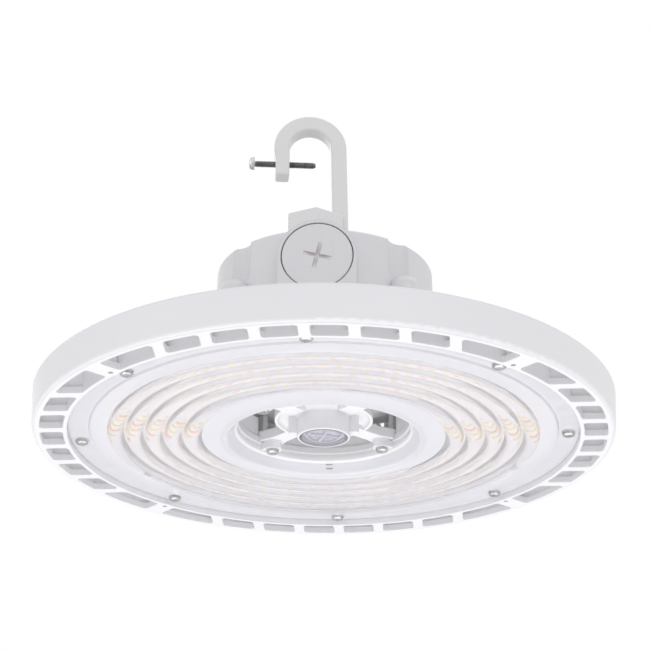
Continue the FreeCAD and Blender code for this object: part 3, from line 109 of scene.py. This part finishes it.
def rounded_edges(group, given, samples):
    """The normal of a surface whose edges are broken by the group's Edge."""
    rounded = add(group, "ShaderNodeBevel", samples=samples)
    group.links.new(given.outputs["Edge"], rounded.inputs["Radius"])
    return rounded.outputs["Normal"]


def colour_mix(group, share, first, second):
    mix = add(group, "ShaderNodeMix", data_type="RGBA")
    group.links.new(share, mix.inputs["Factor"])
    group.links.new(first, mix.inputs["A"])
    group.links.new(second, mix.inputs["B"])
    return mix


def give(group, given, made, colour, dulled, dull_share, bump):
    """Joins a group's outputs: the colour, the Gloss, duller where dulled says, and the bump."""
    duller = combine(group, dulled, dull_share)
    group.links.new(colour, made.inputs["Colour"])
    group.links.new(combine(group, duller, given.outputs["Gloss"], "ADD"), made.inputs["Roughness"])
    group.links.new(bump.outputs["Normal"], made.inputs["Normal"])
    return group


def build_coat():
    """Powder coat: a fine orange peel, rounded edges, faint clouds, and painted shade in the
    corners, where ambient occlusion turns the colour towards Shade.
    """
    group, given, made = new_group(
        "powder_coat",
        [("Colour", COLOUR, (0.8, 0.8, 0.8, 1)), ("Shade", COLOUR, (0.6, 0.6, 0.6, 1)),
         ("Peel", NUMBER, 0.2), ("Edge", NUMBER, 0.8 * MM), ("Gloss", NUMBER, 0.4)])
    place = object_place(group)
    bump = put(add(group, "ShaderNodeBump"), Distance=0.06 * MM)
    group.links.new(given.outputs["Peel"], bump.inputs["Strength"])
    group.links.new(noise(group, place, 900.0, 2.0), bump.inputs["Height"])
    group.links.new(rounded_edges(group, given, 6), bump.inputs["Normal"])
    cloud = ramp(group, noise(group, place, 14.0, 4.0), 0.3, 0.7)
    # Painted shade: within 10 mm of other surfaces the colour goes towards Shade, a little more
    # where the clouds are.
    corner = put(add(group, "ShaderNodeAmbientOcclusion", samples=6), Distance=10 * MM)
    painted_shade = ramp(group, corner.outputs["AO"], 0.15, 0.85, 1.0, 0.0)
    painted_shade_share = combine(group, painted_shade, combine(group, cloud, 0.25, "ADD"))
    mix = colour_mix(group, combine(group, painted_shade_share, 0.8), given.outputs["Colour"],
                     given.outputs["Shade"])
    return give(group, given, made, mix.outputs["Result"], cloud, 0.10, bump)


def build_metal():
    """Turned or plated metal: a fine grain, faint stains and rounded edges."""
    group, given, made = new_group(
        "worked_metal",
        [("Colour", COLOUR, (0.6, 0.6, 0.6, 1)), ("Stain", COLOUR, (0.4, 0.4, 0.4, 1)),
         ("Edge", NUMBER, 0.2 * MM), ("Gloss", NUMBER, 0.3)])
    place = object_place(group)
    bump = put(add(group, "ShaderNodeBump"), Distance=0.02 * MM, Strength=0.35)
    group.links.new(noise(group, place, 2600.0, 2.0), bump.inputs["Height"])
    group.links.new(rounded_edges(group, given, 4), bump.inputs["Normal"])
    stain = ramp(group, noise(group, place, 260.0, 4.0), 0.35, 0.75)
    mix = colour_mix(group, stain, given.outputs["Colour"], given.outputs["Stain"])
    return give(group, given, made, mix.outputs["Result"], stain, 0.18, bump)


def build_moulded():
    """Moulded plastic or rubber: slight mottling and a very fine grain."""
    group, given, made = new_group(
        "moulded_surface",
        [("Colour", COLOUR, (0.6, 0.6, 0.6, 1)), ("Mottle", NUMBER, 0.06),
         ("Grain", NUMBER, 0.15), ("Gloss", NUMBER, 0.35)])
    place = object_place(group)
    mottle = noise(group, place, 70.0, 4.0)
    change = add(group, "ShaderNodeMath", operation="MULTIPLY_ADD")
    group.links.new(combine(group, mottle, 0.5, "SUBTRACT"), change.inputs[0])
    group.links.new(given.outputs["Mottle"], change.inputs[1])
    change.inputs[2].default_value = 1.0
    tint = add(group, "ShaderNodeMix", data_type="RGBA", blend_type="MULTIPLY")
    tint.inputs["Factor"].default_value = 1.0
    group.links.new(given.outputs["Colour"], tint.inputs["A"])
    group.links.new(change.outputs["Value"], tint.inputs["B"])
    bump = put(add(group, "ShaderNodeBump"), Distance=0.02 * MM)
    group.links.new(given.outputs["Grain"], bump.inputs["Strength"])
    group.links.new(noise(group, place, 3200.0, 2.0), bump.inputs["Height"])
    return give(group, given, made, tint.outputs["Result"], mottle, 0.12, bump)


COAT = build_coat()
METAL = build_metal()
MOULDED = build_moulded()


# ---------------------------------------------------------------- materials

def rgb(red, green, blue):
    return (red, green, blue, 1.0)


def new_material(name):
    material = bpy.data.materials.new(name)
    material.use_nodes = True
    return material, material.node_tree, material.node_tree.nodes["Principled BSDF"]


def finish(name, group, **values):
    """A material from one shader group, with the group's own values."""
    material, tree, surface = new_material(name)
    node = put(add(tree, "ShaderNodeGroup", node_tree=group), **values)
    for output, socket in (("Colour", "Base Color"), ("Roughness", "Roughness"),
                           ("Normal", "Normal")):
        tree.links.new(node.outputs[output], surface.inputs[socket])
    if group is METAL:
        surface.inputs["Metallic"].default_value = 1.0
    return material


def clear_plastic(name, colour, roughness, clarity, shadow):
    """Clear moulded plastic, milky where clarity is under 1.

    Shadow rays pass through it, so that what lies behind is lit.
    """
    material, tree, surface = new_material(name)
    put(surface, Base_Color=colour, Transmission_Weight=clarity, IOR=1.50, Roughness=roughness)
    through = put(add(tree, "ShaderNodeBsdfTransparent"), Color=rgb(shadow, shadow, shadow))
    path = add(tree, "ShaderNodeLightPath")
    choice = add(tree, "ShaderNodeMixShader")
    tree.links.new(path.outputs["Is Shadow Ray"], choice.inputs["Fac"])
    tree.links.new(surface.outputs["BSDF"], choice.inputs[1])
    tree.links.new(through.outputs["BSDF"], choice.inputs[2])
    tree.links.new(choice.outputs["Shader"], tree.nodes["Material Output"].inputs["Surface"])
    return material


# Each coat's Shade is the colour of its painted shade in corners and recesses; on the plug it is a
# warm brown painted shade in the cross recess and at the edges.
casting_coat = finish("casting_coat", COAT, Colour=rgb(0.84, 0.84, 0.85),
                      Shade=rgb(0.79, 0.79, 0.80), Peel=0.35, Gloss=0.36)
housing_coat = finish("housing_coat", COAT, Colour=rgb(0.78, 0.77, 0.78),
                      Shade=rgb(0.64, 0.64, 0.66), Peel=0.5, Gloss=0.42)
plug_coat = finish("plug_coat", COAT, Colour=rgb(0.78, 0.77, 0.78),
                   Shade=rgb(0.60, 0.49, 0.44), Peel=0.5, Gloss=0.42, Edge=0.4 * MM)
hook_enamel = finish("hook_enamel", COAT, Colour=rgb(0.80, 0.80, 0.79),
                     Shade=rgb(0.64, 0.64, 0.64), Peel=0.4, Gloss=0.34)

stainless = finish("stainless", METAL, Colour=rgb(0.72, 0.71, 0.71),
                   Stain=rgb(0.42, 0.40, 0.39), Gloss=0.16)
dark_steel = finish("dark_steel", METAL, Colour=rgb(0.24, 0.235, 0.23),
                    Stain=rgb(0.12, 0.12, 0.12), Gloss=0.28)
zinc = finish("zinc", METAL, Colour=rgb(0.60, 0.58, 0.54), Stain=rgb(0.40, 0.37, 0.33), Gloss=0.3)
driver_metal = finish("driver_metal", METAL, Colour=rgb(0.66, 0.67, 0.68),
                      Stain=rgb(0.5, 0.5, 0.52), Gloss=0.36)

board_mask = finish("board_mask", MOULDED, Colour=rgb(0.91, 0.90, 0.92), Gloss=0.3)
warm_phosphor = finish("warm_phosphor", MOULDED, Colour=rgb(0.98, 0.54, 0.24), Gloss=0.3)
cool_phosphor = finish("cool_phosphor", MOULDED, Colour=rgb(0.99, 0.82, 0.36), Gloss=0.3)
connector_nylon = finish("connector_nylon", MOULDED, Colour=rgb(0.86, 0.85, 0.80), Gloss=0.35)
pale_silicone = finish("pale_silicone", MOULDED, Colour=rgb(0.88, 0.88, 0.89), Gloss=0.5)
dark_silicone = finish("dark_silicone", MOULDED, Colour=rgb(0.06, 0.06, 0.065), Gloss=0.5)
insert_plastic = finish("insert_plastic", MOULDED, Colour=rgb(0.66, 0.64, 0.68), Gloss=0.35)
green_board = finish("green_board", MOULDED, Colour=rgb(0.05, 0.17, 0.10), Gloss=0.3)
wire_sleeve = finish("wire_sleeve", MOULDED, Colour=rgb(0.6, 0.6, 0.6), Gloss=0.4)
terminal_polyamide = finish("terminal_polyamide", MOULDED, Colour=rgb(0.80, 0.80, 0.76), Gloss=0.4)
peg_grey = finish("peg_grey", MOULDED, Colour=rgb(0.34, 0.34, 0.36), Gloss=0.4)

lens_clear = clear_plastic("lens_clear", rgb(0.94, 0.925, 0.945), 0.0, 0.80, 0.95)
lens_milky = clear_plastic("lens_milky", rgb(0.85, 0.845, 0.88), 0.12, 0.25, 0.9)
# This is the milky lens plastic made whiter and more diffuse: painted light for the ears and the
# window's edge, which sit in shade.
lens_lightened = clear_plastic("lens_lightened", rgb(0.97, 0.97, 0.98), 0.05, 0.15, 0.97)
cap_clear = clear_plastic("cap_clear", rgb(0.93, 0.93, 0.98), 0.02, 0.95, 0.9)

FINISHES = {
    casting_coat: ["heat_sink"],
    housing_coat: ["driver_tray", "driver_cover"],
    plug_coat: ["access_plug"],
    hook_enamel: ["hook"],
    stainless: ["board_screws"],
    zinc: ["tray_screws", "driver_screws", "cover_screws", "hook_locknut", "hook_set_screw"],
    driver_metal: ["led_driver"],
    board_mask: ["led_board"],
    warm_phosphor: ["warm_leds"],
    cool_phosphor: ["cool_leds"],
    connector_nylon: ["board_connector"],
    pale_silicone: ["lens_outer_gasket", "lens_inner_gasket", "sensor_gasket"],
    dark_silicone: ["lead_grommet", "cover_gasket", "plug_o_ring", "hook_gasket"],
    green_board: ["sensor_board"],
    wire_sleeve: ["led_leads"],
    terminal_polyamide: ["terminal_block"],
    cap_clear: ["sensor_cap"],
}
for material, names in FINISHES.items():
    for name in names:
        mesh = nodes[name].data
        mesh.materials.clear()
        mesh.materials.append(material)


# ---------------------------------------------------------------- ways of modelling

def only(kind, geom):
    return [item for item in geom if isinstance(item, kind)]


def all_of(bm):
    return bm.verts[:] + bm.edges[:] + bm.faces[:]


def on_profile(radius, height):
    """A point of a turned profile, from its radius and height in mm."""
    return (radius * MM, 0.0, height * MM)


def run_to(bm, last, end):
    """A straight run of the profile."""
    vert = bm.verts.new(on_profile(*end))
    bm.edges.new((last, vert))
    return vert


def bend_to(bm, last, end, rise, steps):
    """An arc of the profile, standing off its chord by rise; under 0 it bends down."""
    start, stop = last.co.copy(), Vector(on_profile(*end))
    chord = stop - start
    half = chord.length / 2
    bulge = abs(rise) * MM
    radius = (half * half + bulge * bulge) / (2 * bulge)
    side = Vector((-chord.z, 0.0, chord.x)).normalized() * (1 if rise > 0 else -1)
    middle = (start + stop) / 2 + side * (bulge - radius)
    sweep = 2 * math.asin(min(1.0, half / radius))
    turned = bmesh.ops.spin(bm, geom=[last], cent=middle, axis=(0, 1 if rise > 0 else -1, 0),
                            angle=sweep, steps=steps, use_duplicate=False)
    return only(bmesh.types.BMVert, turned["geom_last"])[0]


def turn_round(bm, steps, angle=FULL_TURN):
    """Turns the profile about the Z axis, a whole turn unless an angle is given."""
    bmesh.ops.spin(bm, geom=bm.verts[:] + bm.edges[:], cent=(0, 0, 0), axis=(0, 0, 1), angle=angle,
                   steps=steps, use_merge=angle == FULL_TURN, use_duplicate=False)


def thicken(bm, height):
    """Makes the flat faces a closed solid of this height in mm; under 0 it goes down."""
    made = bmesh.ops.extrude_face_region(bm, geom=bm.faces[:])["geom"]
    bmesh.ops.translate(bm, verts=only(bmesh.types.BMVert, made), vec=(0, 0, height * MM))


def paint(bm, number):
    for face in bm.faces:
        face.material_index = number


def merge_into(bm, part, place=None):
    """Puts a part, moved to its place, into the piece's mesh."""
    if place is not None:
        part.transform(place)
    held = bpy.data.meshes.new("held")
    part.to_mesh(held)
    part.free()
    bm.from_mesh(held)
    bpy.data.meshes.remove(held)


def about_z(degrees):
    return Matrix.Rotation(math.radians(degrees), 4, "Z")


def into_piece(bm, name, materials, smooth_angle):
    """Closes the seams, turns the faces outwards and makes the piece, which rides on the light."""
    bmesh.ops.remove_doubles(bm, verts=bm.verts, dist=0.002 * MM)
    bmesh.ops.recalc_face_normals(bm, faces=bm.faces)
    mesh = bpy.data.meshes.new(name)
    bm.to_mesh(mesh)
    bm.free()
    for material in materials:
        mesh.materials.append(material)
    mesh.shade_smooth()
    mesh.set_sharp_from_angle(angle=math.radians(smooth_angle))
    piece = bpy.data.objects.new(name, mesh)
    bpy.context.scene.collection.objects.link(piece)
    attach(piece, "root")
    return piece


# ---------------------------------------------------------------- moulded lens
# Sizes are in mm. Profile points are (radius, height); the lit side is at the bottom.

# The lens's material slots; the third is the whitened copy of the lens plastic, painted light for
# faces in shade.
CLEAR, MILKY, LIGHTENED, MARK = range(4)

RIDGES = 5
RIDGE_START, RIDGE_PITCH, RIDGE_RISE = 71.4, 11.2, 1.1
RIDGE_END = RIDGE_START + RIDGE_PITCH * RIDGES
VALLEY_HALF, VALLEY_LEVEL, VALLEY_RISE = 0.75, 2.0, 0.2

WINDOW_TOP = (51.0, 10.5)
WINDOW_LOW = (51.0, 7.7)
WINDOW_EDGE = 52.0
# Lip of the window, cone, crest and dish: where each arc ends, its rise and its steps.
INNER_ARCS = (
    ((51.5, 7.2), -0.1, 2),
    ((56.3, 1.1), 0.25, 6),
    ((59.6, 0.5), -0.55, 6),
    ((RIDGE_START, 2.4), -0.12, 6),
)
# Outer land, step and flange, then back along the upper side to the cone.
OUTER_RUNS = (
    (136.2, 2.4), (136.6, 2.5), (137.4, 3.6), (137.8, 3.7), (149.4, 3.7), (149.4, 6.2),
    (136.5, 6.2), (135.5, 4.8), (RIDGE_START, 4.8), (60.0, 3.8), (56.0, 10.5),
)

EAR_ANGLES = (45, 135, 225, 315)
EAR_CIRCLE, EAR_REACH, EAR_RADIUS, EAR_HOLE = 46.6, 51.2, 5.4, 2.2
EAR_LEVEL, EAR_HEIGHT = 8.3, 3.7

PEG_MARKS = ((52.75, 5.5), (54.35, 3.5))
PEG_MARK_SIZE = (4.2, 0.3, 0.45)
CONE_TILT = -38


def add_ear(bm, angle):
    """One screw ear: a tongue with a round end and a hole for the shank, closed all round."""
    ear = bmesh.new()
    outline, _ = [bmesh.ops.create_circle(ear, segments=32, radius=radius * MM)["verts"]
                  for radius in (EAR_RADIUS, EAR_HOLE)]
    root = [vert for vert in outline if vert.co.x > 0.1 * MM]
    bmesh.ops.scale(ear, verts=root, vec=(0.001, 1, 1))
    bmesh.ops.translate(ear, verts=root, vec=((EAR_REACH - EAR_CIRCLE) * MM, 0, 0))
    bmesh.ops.bridge_loops(ear, edges=ear.edges[:])
    thicken(ear, EAR_HEIGHT)
    # The ear takes the whitened copy of the lens plastic: painted light on a part in shade.
    paint(ear, LIGHTENED)
    seat = Matrix.Translation((EAR_CIRCLE * MM, 0, EAR_LEVEL * MM))
    merge_into(bm, ear, about_z(angle) @ seat)


def add_peg_marks(bm):
    """Two short bars on the cone at the back, where the moulding sits on its peg."""
    tilt = Matrix.Rotation(math.radians(CONE_TILT), 4, "X")
    for radius, height in PEG_MARKS:
        mark = bmesh.new()
        bmesh.ops.create_cube(mark, size=MM)
        bmesh.ops.scale(mark, verts=mark.verts, vec=PEG_MARK_SIZE)
        bmesh.ops.bevel(mark, geom=mark.edges[:], offset=0.1 * MM, segments=2, profile=0.5,
                        affect="EDGES", material=-1)
        paint(mark, MARK)
        merge_into(bm, mark, Matrix.Translation((0, radius * MM, height * MM)) @ tilt)


def build_lens():
    """The moulding: inner flange, cone, dish, five clear ridges and the outer flange."""
    bm = bmesh.new()
    first = bm.verts.new(on_profile(*WINDOW_TOP))
    vert = run_to(bm, first, WINDOW_LOW)
    for end, rise, steps in INNER_ARCS:
        vert = bend_to(bm, vert, end, rise, steps)
    vert = run_to(bm, vert, (RIDGE_START + VALLEY_HALF, VALLEY_LEVEL))
    for number in range(1, RIDGES + 1):
        valley = RIDGE_START + RIDGE_PITCH * number
        vert = bend_to(bm, vert, (valley - VALLEY_HALF, VALLEY_LEVEL), -RIDGE_RISE, 10)
        if number < RIDGES:
            vert = bend_to(bm, vert, (valley + VALLEY_HALF, VALLEY_LEVEL), VALLEY_RISE, 3)
    for corner in OUTER_RUNS:
        vert = run_to(bm, vert, corner)
    bm.edges.new((vert, first))
    turn_round(bm, 180)
    bmesh.ops.recalc_face_normals(bm, faces=bm.faces)
    for face in bm.faces:
        reach = face.calc_center_median().xy.length / MM
        if RIDGE_START < reach < RIDGE_END:
            face.material_index = CLEAR
        else:
            # Faces inside the window's edge take the whitened copy of the lens plastic: painted
            # light on a wall in shade.
            face.material_index = LIGHTENED if reach < WINDOW_EDGE else MILKY
    for angle in EAR_ANGLES:
        add_ear(bm, angle)
    add_peg_marks(bm)
    lens = into_piece(bm, "lens_moulding", [lens_clear, lens_milky, lens_lightened, peg_grey], 32)
    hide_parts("lens")


# ---------------------------------------------------------------- screws

FACE_SHARE = 0.62
CROSS_HALF, CROSS_REACH, CROSS_DEPTH, CROSS_TAPER = 0.14, 0.82, 0.55, 0.7
CROWN = ((1.30, 0.10), (1.16, 0.22), (1.07, 0.30), (1.0, 0.38))

PITCH = 0.7
ROOT_SHARE, TIP_SHARE = 0.86, 0.6
SHANK_RADIUS = 2.0

LENS_HEAD_RADIUS, LENS_HEAD_HEIGHT, LENS_SCREW_LENGTH, LENS_SCREW_PLAIN = 3.9, 2.6, 10, 0.4
# Circle, count, first angle and the level of the heads' seats.
LENS_SCREWS = {
    "outer_lens_screws": (143.0, 8, 0, 3.7),
    "inner_lens_screws": (EAR_CIRCLE, 4, 45, EAR_LEVEL),
}

KEEPER_HEAD_RADIUS, KEEPER_HEAD_HEIGHT, KEEPER_LENGTH, KEEPER_PLAIN = 4.2, 3.4, 38, 1.0
KEEPER_REACH = 37.9
HOOK_OFFSET, HOOK_TURN = -6.5, 7


def cut_along(bm, side, way):
    """Cuts the flat face by a line across this way, side away from its middle."""
    bmesh.ops.bisect_plane(bm, geom=all_of(bm), dist=0.001 * MM, plane_co=Vector(way) * side,
                           plane_no=way)


def pan_head(radius, tall, turn):
    """A pan head that looks down -Z from its seat at the origin, with a cross recess."""
    bm = bmesh.new()
    flat = radius * FACE_SHARE * MM
    half, reach = radius * CROSS_HALF * MM, flat * CROSS_REACH
    bmesh.ops.create_circle(bm, cap_ends=True, segments=24, radius=flat)
    for way in ((1, 0, 0), (0, 1, 0)):
        for side in (-half, half):
            cut_along(bm, side, way)
    for side in (-reach, reach):
        for way in ((1, 0, 0), (0, 1, 0)):
            cut_along(bm, side, way)
    rim = [edge for edge in bm.edges if edge.is_boundary]
    cross = []
    for face in bm.faces:
        middle = face.calc_center_median()
        near, far = sorted((abs(middle.x), abs(middle.y)))
        if near < half and far < reach:
            cross.append(face)
    sunk = bmesh.ops.extrude_face_region(bm, geom=cross)["geom"]
    floor = only(bmesh.types.BMVert, sunk)
    bmesh.ops.translate(bm, verts=floor, vec=(0, 0, tall * CROSS_DEPTH * MM))
    bmesh.ops.scale(bm, verts=floor, vec=(CROSS_TAPER, CROSS_TAPER, 1))
    for grow, drop in CROWN:
        made = bmesh.ops.extrude_edge_only(bm, edges=rim)["geom"]
        verts, rim = only(bmesh.types.BMVert, made), only(bmesh.types.BMEdge, made)
        bmesh.ops.scale(bm, verts=verts, vec=(grow, grow, 1))
        bmesh.ops.translate(bm, verts=verts, vec=(0, 0, tall * drop * MM))
    bmesh.ops.edgeloop_fill(bm, edges=rim)
    bmesh.ops.translate(bm, verts=bm.verts, vec=(0, 0, -tall * MM))
    bm.transform(about_z(turn))
    return bm


def add_shank(bm, plain, length):
    """A shank along +Z from the seat: a plain neck, thread rings, and a tip that is closed."""
    shank = bmesh.new()
    root = SHANK_RADIUS * ROOT_SHARE
    vert = shank.verts.new((0, 0, 0))
    corners = [(root, 0.0), (root, plain)]
    for turn in range(int((length - plain - SHANK_RADIUS / 2) / PITCH)):
        along = plain + PITCH * turn
        corners += [(SHANK_RADIUS, along + PITCH * 0.4), (SHANK_RADIUS, along + PITCH * 0.55),
                    (root, along + PITCH)]
    corners += [(SHANK_RADIUS * TIP_SHARE, length), (0.0, length)]
    for corner in corners:
        vert = run_to(shank, vert, corner)
    turn_round(shank, 20)
    bmesh.ops.remove_doubles(shank, verts=shank.verts, dist=0.001 * MM)
    merge_into(bm, shank)


def build_lens_screws(node, circle, count, first, level):
    """A circle of lens screws, each with its cross turned its own way."""
    bm = bmesh.new()
    for number in range(count):
        screw = pan_head(LENS_HEAD_RADIUS, LENS_HEAD_HEIGHT, 37 * number + 12)
        add_shank(screw, LENS_SCREW_PLAIN, LENS_SCREW_LENGTH)
        seat = about_z(first + 360 / count * number) @ Vector((circle, 0, level)) * MM
        merge_into(bm, screw, Matrix.Translation(seat))
    screws = into_piece(bm, node + "_pan", [stainless], 35)
    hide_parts(node)


def build_keeper_screw():
    """The hook's keeper screw, in line with the hook's turn: a bright head and a dark thread."""
    bm = pan_head(KEEPER_HEAD_RADIUS, KEEPER_HEAD_HEIGHT, 20)
    paint(bm, 1)
    add_shank(bm, KEEPER_PLAIN, KEEPER_LENGTH)
    low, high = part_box("keeper_screw")
    turn = about_z(HOOK_TURN)
    seat = Vector((HOOK_OFFSET, 0, 0)) * MM - turn @ Vector((KEEPER_REACH * MM, 0, 0))
    seat.z = (low[2] + high[2]) / 2
    lying = Matrix.Rotation(math.radians(90), 4, "Y")
    bm.transform(Matrix.Translation(seat) @ turn @ lying)
    screw = into_piece(bm, "keeper_screw_threaded", [dark_steel, stainless], 35)
    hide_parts("keeper_screw")


# ---------------------------------------------------------------- sensor insert

INSERT_PROFILE = ((0, 6.1), (9.0, 6.1), (9.2, 4.5), (10.1, 4.5), (10.4, 6.2), (12.7, 6.3),
                  (12.7, 7.4), (0, 7.4))
INSERT_FACE = 6.15
RIB_ANGLES = (20, 110, 200, 290)
RIB_INNER, RIB_OUTER, RIB_WIDTH, RIB_HEIGHT = 0.4, 9.0, 1.5, 1.5
PAD_INNER, PAD_OUTER, PAD_SPREAD, PAD_HEIGHT = 5.9, 7.8, 48, 1.0


def add_rib(bm, angle):
    """One arm of the cross that stands on the insert's face, towards the cap."""
    rib = bmesh.new()
    bmesh.ops.create_cube(rib, size=MM)
    bmesh.ops.scale(rib, verts=rib.verts, vec=(RIB_OUTER - RIB_INNER, RIB_WIDTH, RIB_HEIGHT))
    middle = on_profile((RIB_INNER + RIB_OUTER) / 2, INSERT_FACE - RIB_HEIGHT / 2)
    merge_into(bm, rib, about_z(angle) @ Matrix.Translation(middle))


def add_pad(bm, angle):
    """A curved pad between two ribs; angle is its middle."""
    pad = bmesh.new()
    inner = pad.verts.new(on_profile(PAD_INNER, INSERT_FACE))
    run_to(pad, inner, (PAD_OUTER, INSERT_FACE))
    turn_round(pad, 6, math.radians(PAD_SPREAD))
    thicken(pad, -PAD_HEIGHT)
    merge_into(bm, pad, about_z(angle - PAD_SPREAD / 2))


def build_sensor_insert():
    """The insert behind the clear cap: a rimmed disc with a cross of ribs and four curved pads."""
    bm = bmesh.new()
    vert = bm.verts.new(on_profile(*INSERT_PROFILE[0]))
    for corner in INSERT_PROFILE[1:]:
        vert = run_to(bm, vert, corner)
    turn_round(bm, 48)
    for angle in RIB_ANGLES:
        add_rib(bm, angle)
        add_pad(bm, angle + 45)
    insert = into_piece(bm, "sensor_insert_ribbed", [insert_plastic], 30)
    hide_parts("sensor_insert")


build_lens()
for node, (circle, count, first, level) in LENS_SCREWS.items():
    build_lens_screws(node, circle, count, first, level)
build_keeper_screw()
build_sensor_insert()


# ---------------------------------------------------------------- floor, light and camera
# Sizes are in metres. The light hangs, so the floor lies well below it.

FLOOR_LEVEL, FLOOR_HALF = -2.20, 20.0
WORLD_FILL = 0.77
# Place, what it points at, width and power.
LAMPS = {
    "under_lamp": ((0.0, -0.05, -0.74), (0, 0, 0.02), 1.3, 5.8),
    "front_lamp": ((0.9, -1.6, 0.45), (0, 0, 0.08), 1.2, 3.0),
    "left_lamp": ((-1.6, -0.9, 0.2), (0, 0, 0.06), 1.0, 2.2),
    "top_lamp": ((0.5, 0.4, 1.5), (0, 0, 0.08), 1.0, 2.5),
    "back_lamp": ((-0.5, 1.5, 0.7), (0, 0, 0.04), 1.0, 4.0),
}
CAMERA_PLACE, CAMERA_AIM = (0.0734, -1.1013, -0.4278), (0.0003, 0.0, 0.0754)
CAMERA_LENS, CAMERA_ROLL = 111.68307692, 0.441


def build_floor():
    bm = bmesh.new()
    bmesh.ops.create_grid(bm, x_segments=1, y_segments=1, size=FLOOR_HALF)
    bmesh.ops.translate(bm, verts=bm.verts, vec=(0, 0, FLOOR_LEVEL))
    mesh = bpy.data.meshes.new("floor")
    bm.to_mesh(mesh)
    bm.free()
    floor = bpy.data.objects.new("floor", mesh)
    bpy.context.scene.collection.objects.link(floor)
    floor_paint, _, surface = new_material("floor_paint")
    put(surface, Base_Color=rgb(0.86, 0.86, 0.86), Roughness=0.9)
    mesh.materials.append(floor_paint)


def build_world():
    """A pale fill for the light; what the camera, gloss and clear plastic see of it is white."""
    world = bpy.data.worlds.new("studio")
    bpy.context.scene.world = world
    world.use_nodes = True
    tree = world.node_tree
    white = put(tree.nodes["Background"], Color=rgb(1, 1, 1))
    fill = put(add(tree, "ShaderNodeBackground"), Color=rgb(0.97, 0.97, 1.0), Strength=WORLD_FILL)
    path = add(tree, "ShaderNodeLightPath")
    seen = path.outputs["Is Camera Ray"]
    for ray in ("Is Glossy Ray", "Is Transmission Ray"):
        seen = combine(tree, seen, path.outputs[ray], "MAXIMUM")
    choice = add(tree, "ShaderNodeMixShader")
    tree.links.new(seen, choice.inputs["Fac"])
    tree.links.new(fill.outputs["Background"], choice.inputs[1])
    tree.links.new(white.outputs["Background"], choice.inputs[2])
    tree.links.new(choice.outputs["Shader"], tree.nodes["World Output"].inputs["Surface"])


def place_holder(name, data, place, look):
    """The object that holds a lamp or the camera."""
    holder = bpy.data.objects.new(name, data)
    holder.location = place
    holder.rotation_mode = "QUATERNION"
    holder.rotation_quaternion = look
    bpy.context.scene.collection.objects.link(holder)
    return holder


def facing(place, target):
    return (Vector(target) - Vector(place)).to_track_quat("-Z", "Y")


def soft_lamp(name, place, target, width, power):
    lamp = bpy.data.lights.new(name, "AREA")
    lamp.shape = "SQUARE"
    lamp.size = width
    lamp.energy = power
    place_holder(name, lamp, place, facing(place, target)).visible_camera = False


def build_camera():
    camera = bpy.data.cameras.new("camera")
    camera.sensor_width = 36.0
    camera.lens = CAMERA_LENS
    camera.clip_end = 30.0
    roll = Quaternion((0, 0, 1), math.radians(CAMERA_ROLL))
    look = facing(CAMERA_PLACE, CAMERA_AIM) @ roll
    bpy.context.scene.camera = place_holder("camera", camera, CAMERA_PLACE, look)


build_floor()
build_world()
for name, (place, target, width, power) in LAMPS.items():
    soft_lamp(name, place, target, width, power)
build_camera()

bpy.context.scene.view_settings.view_transform = "Standard"
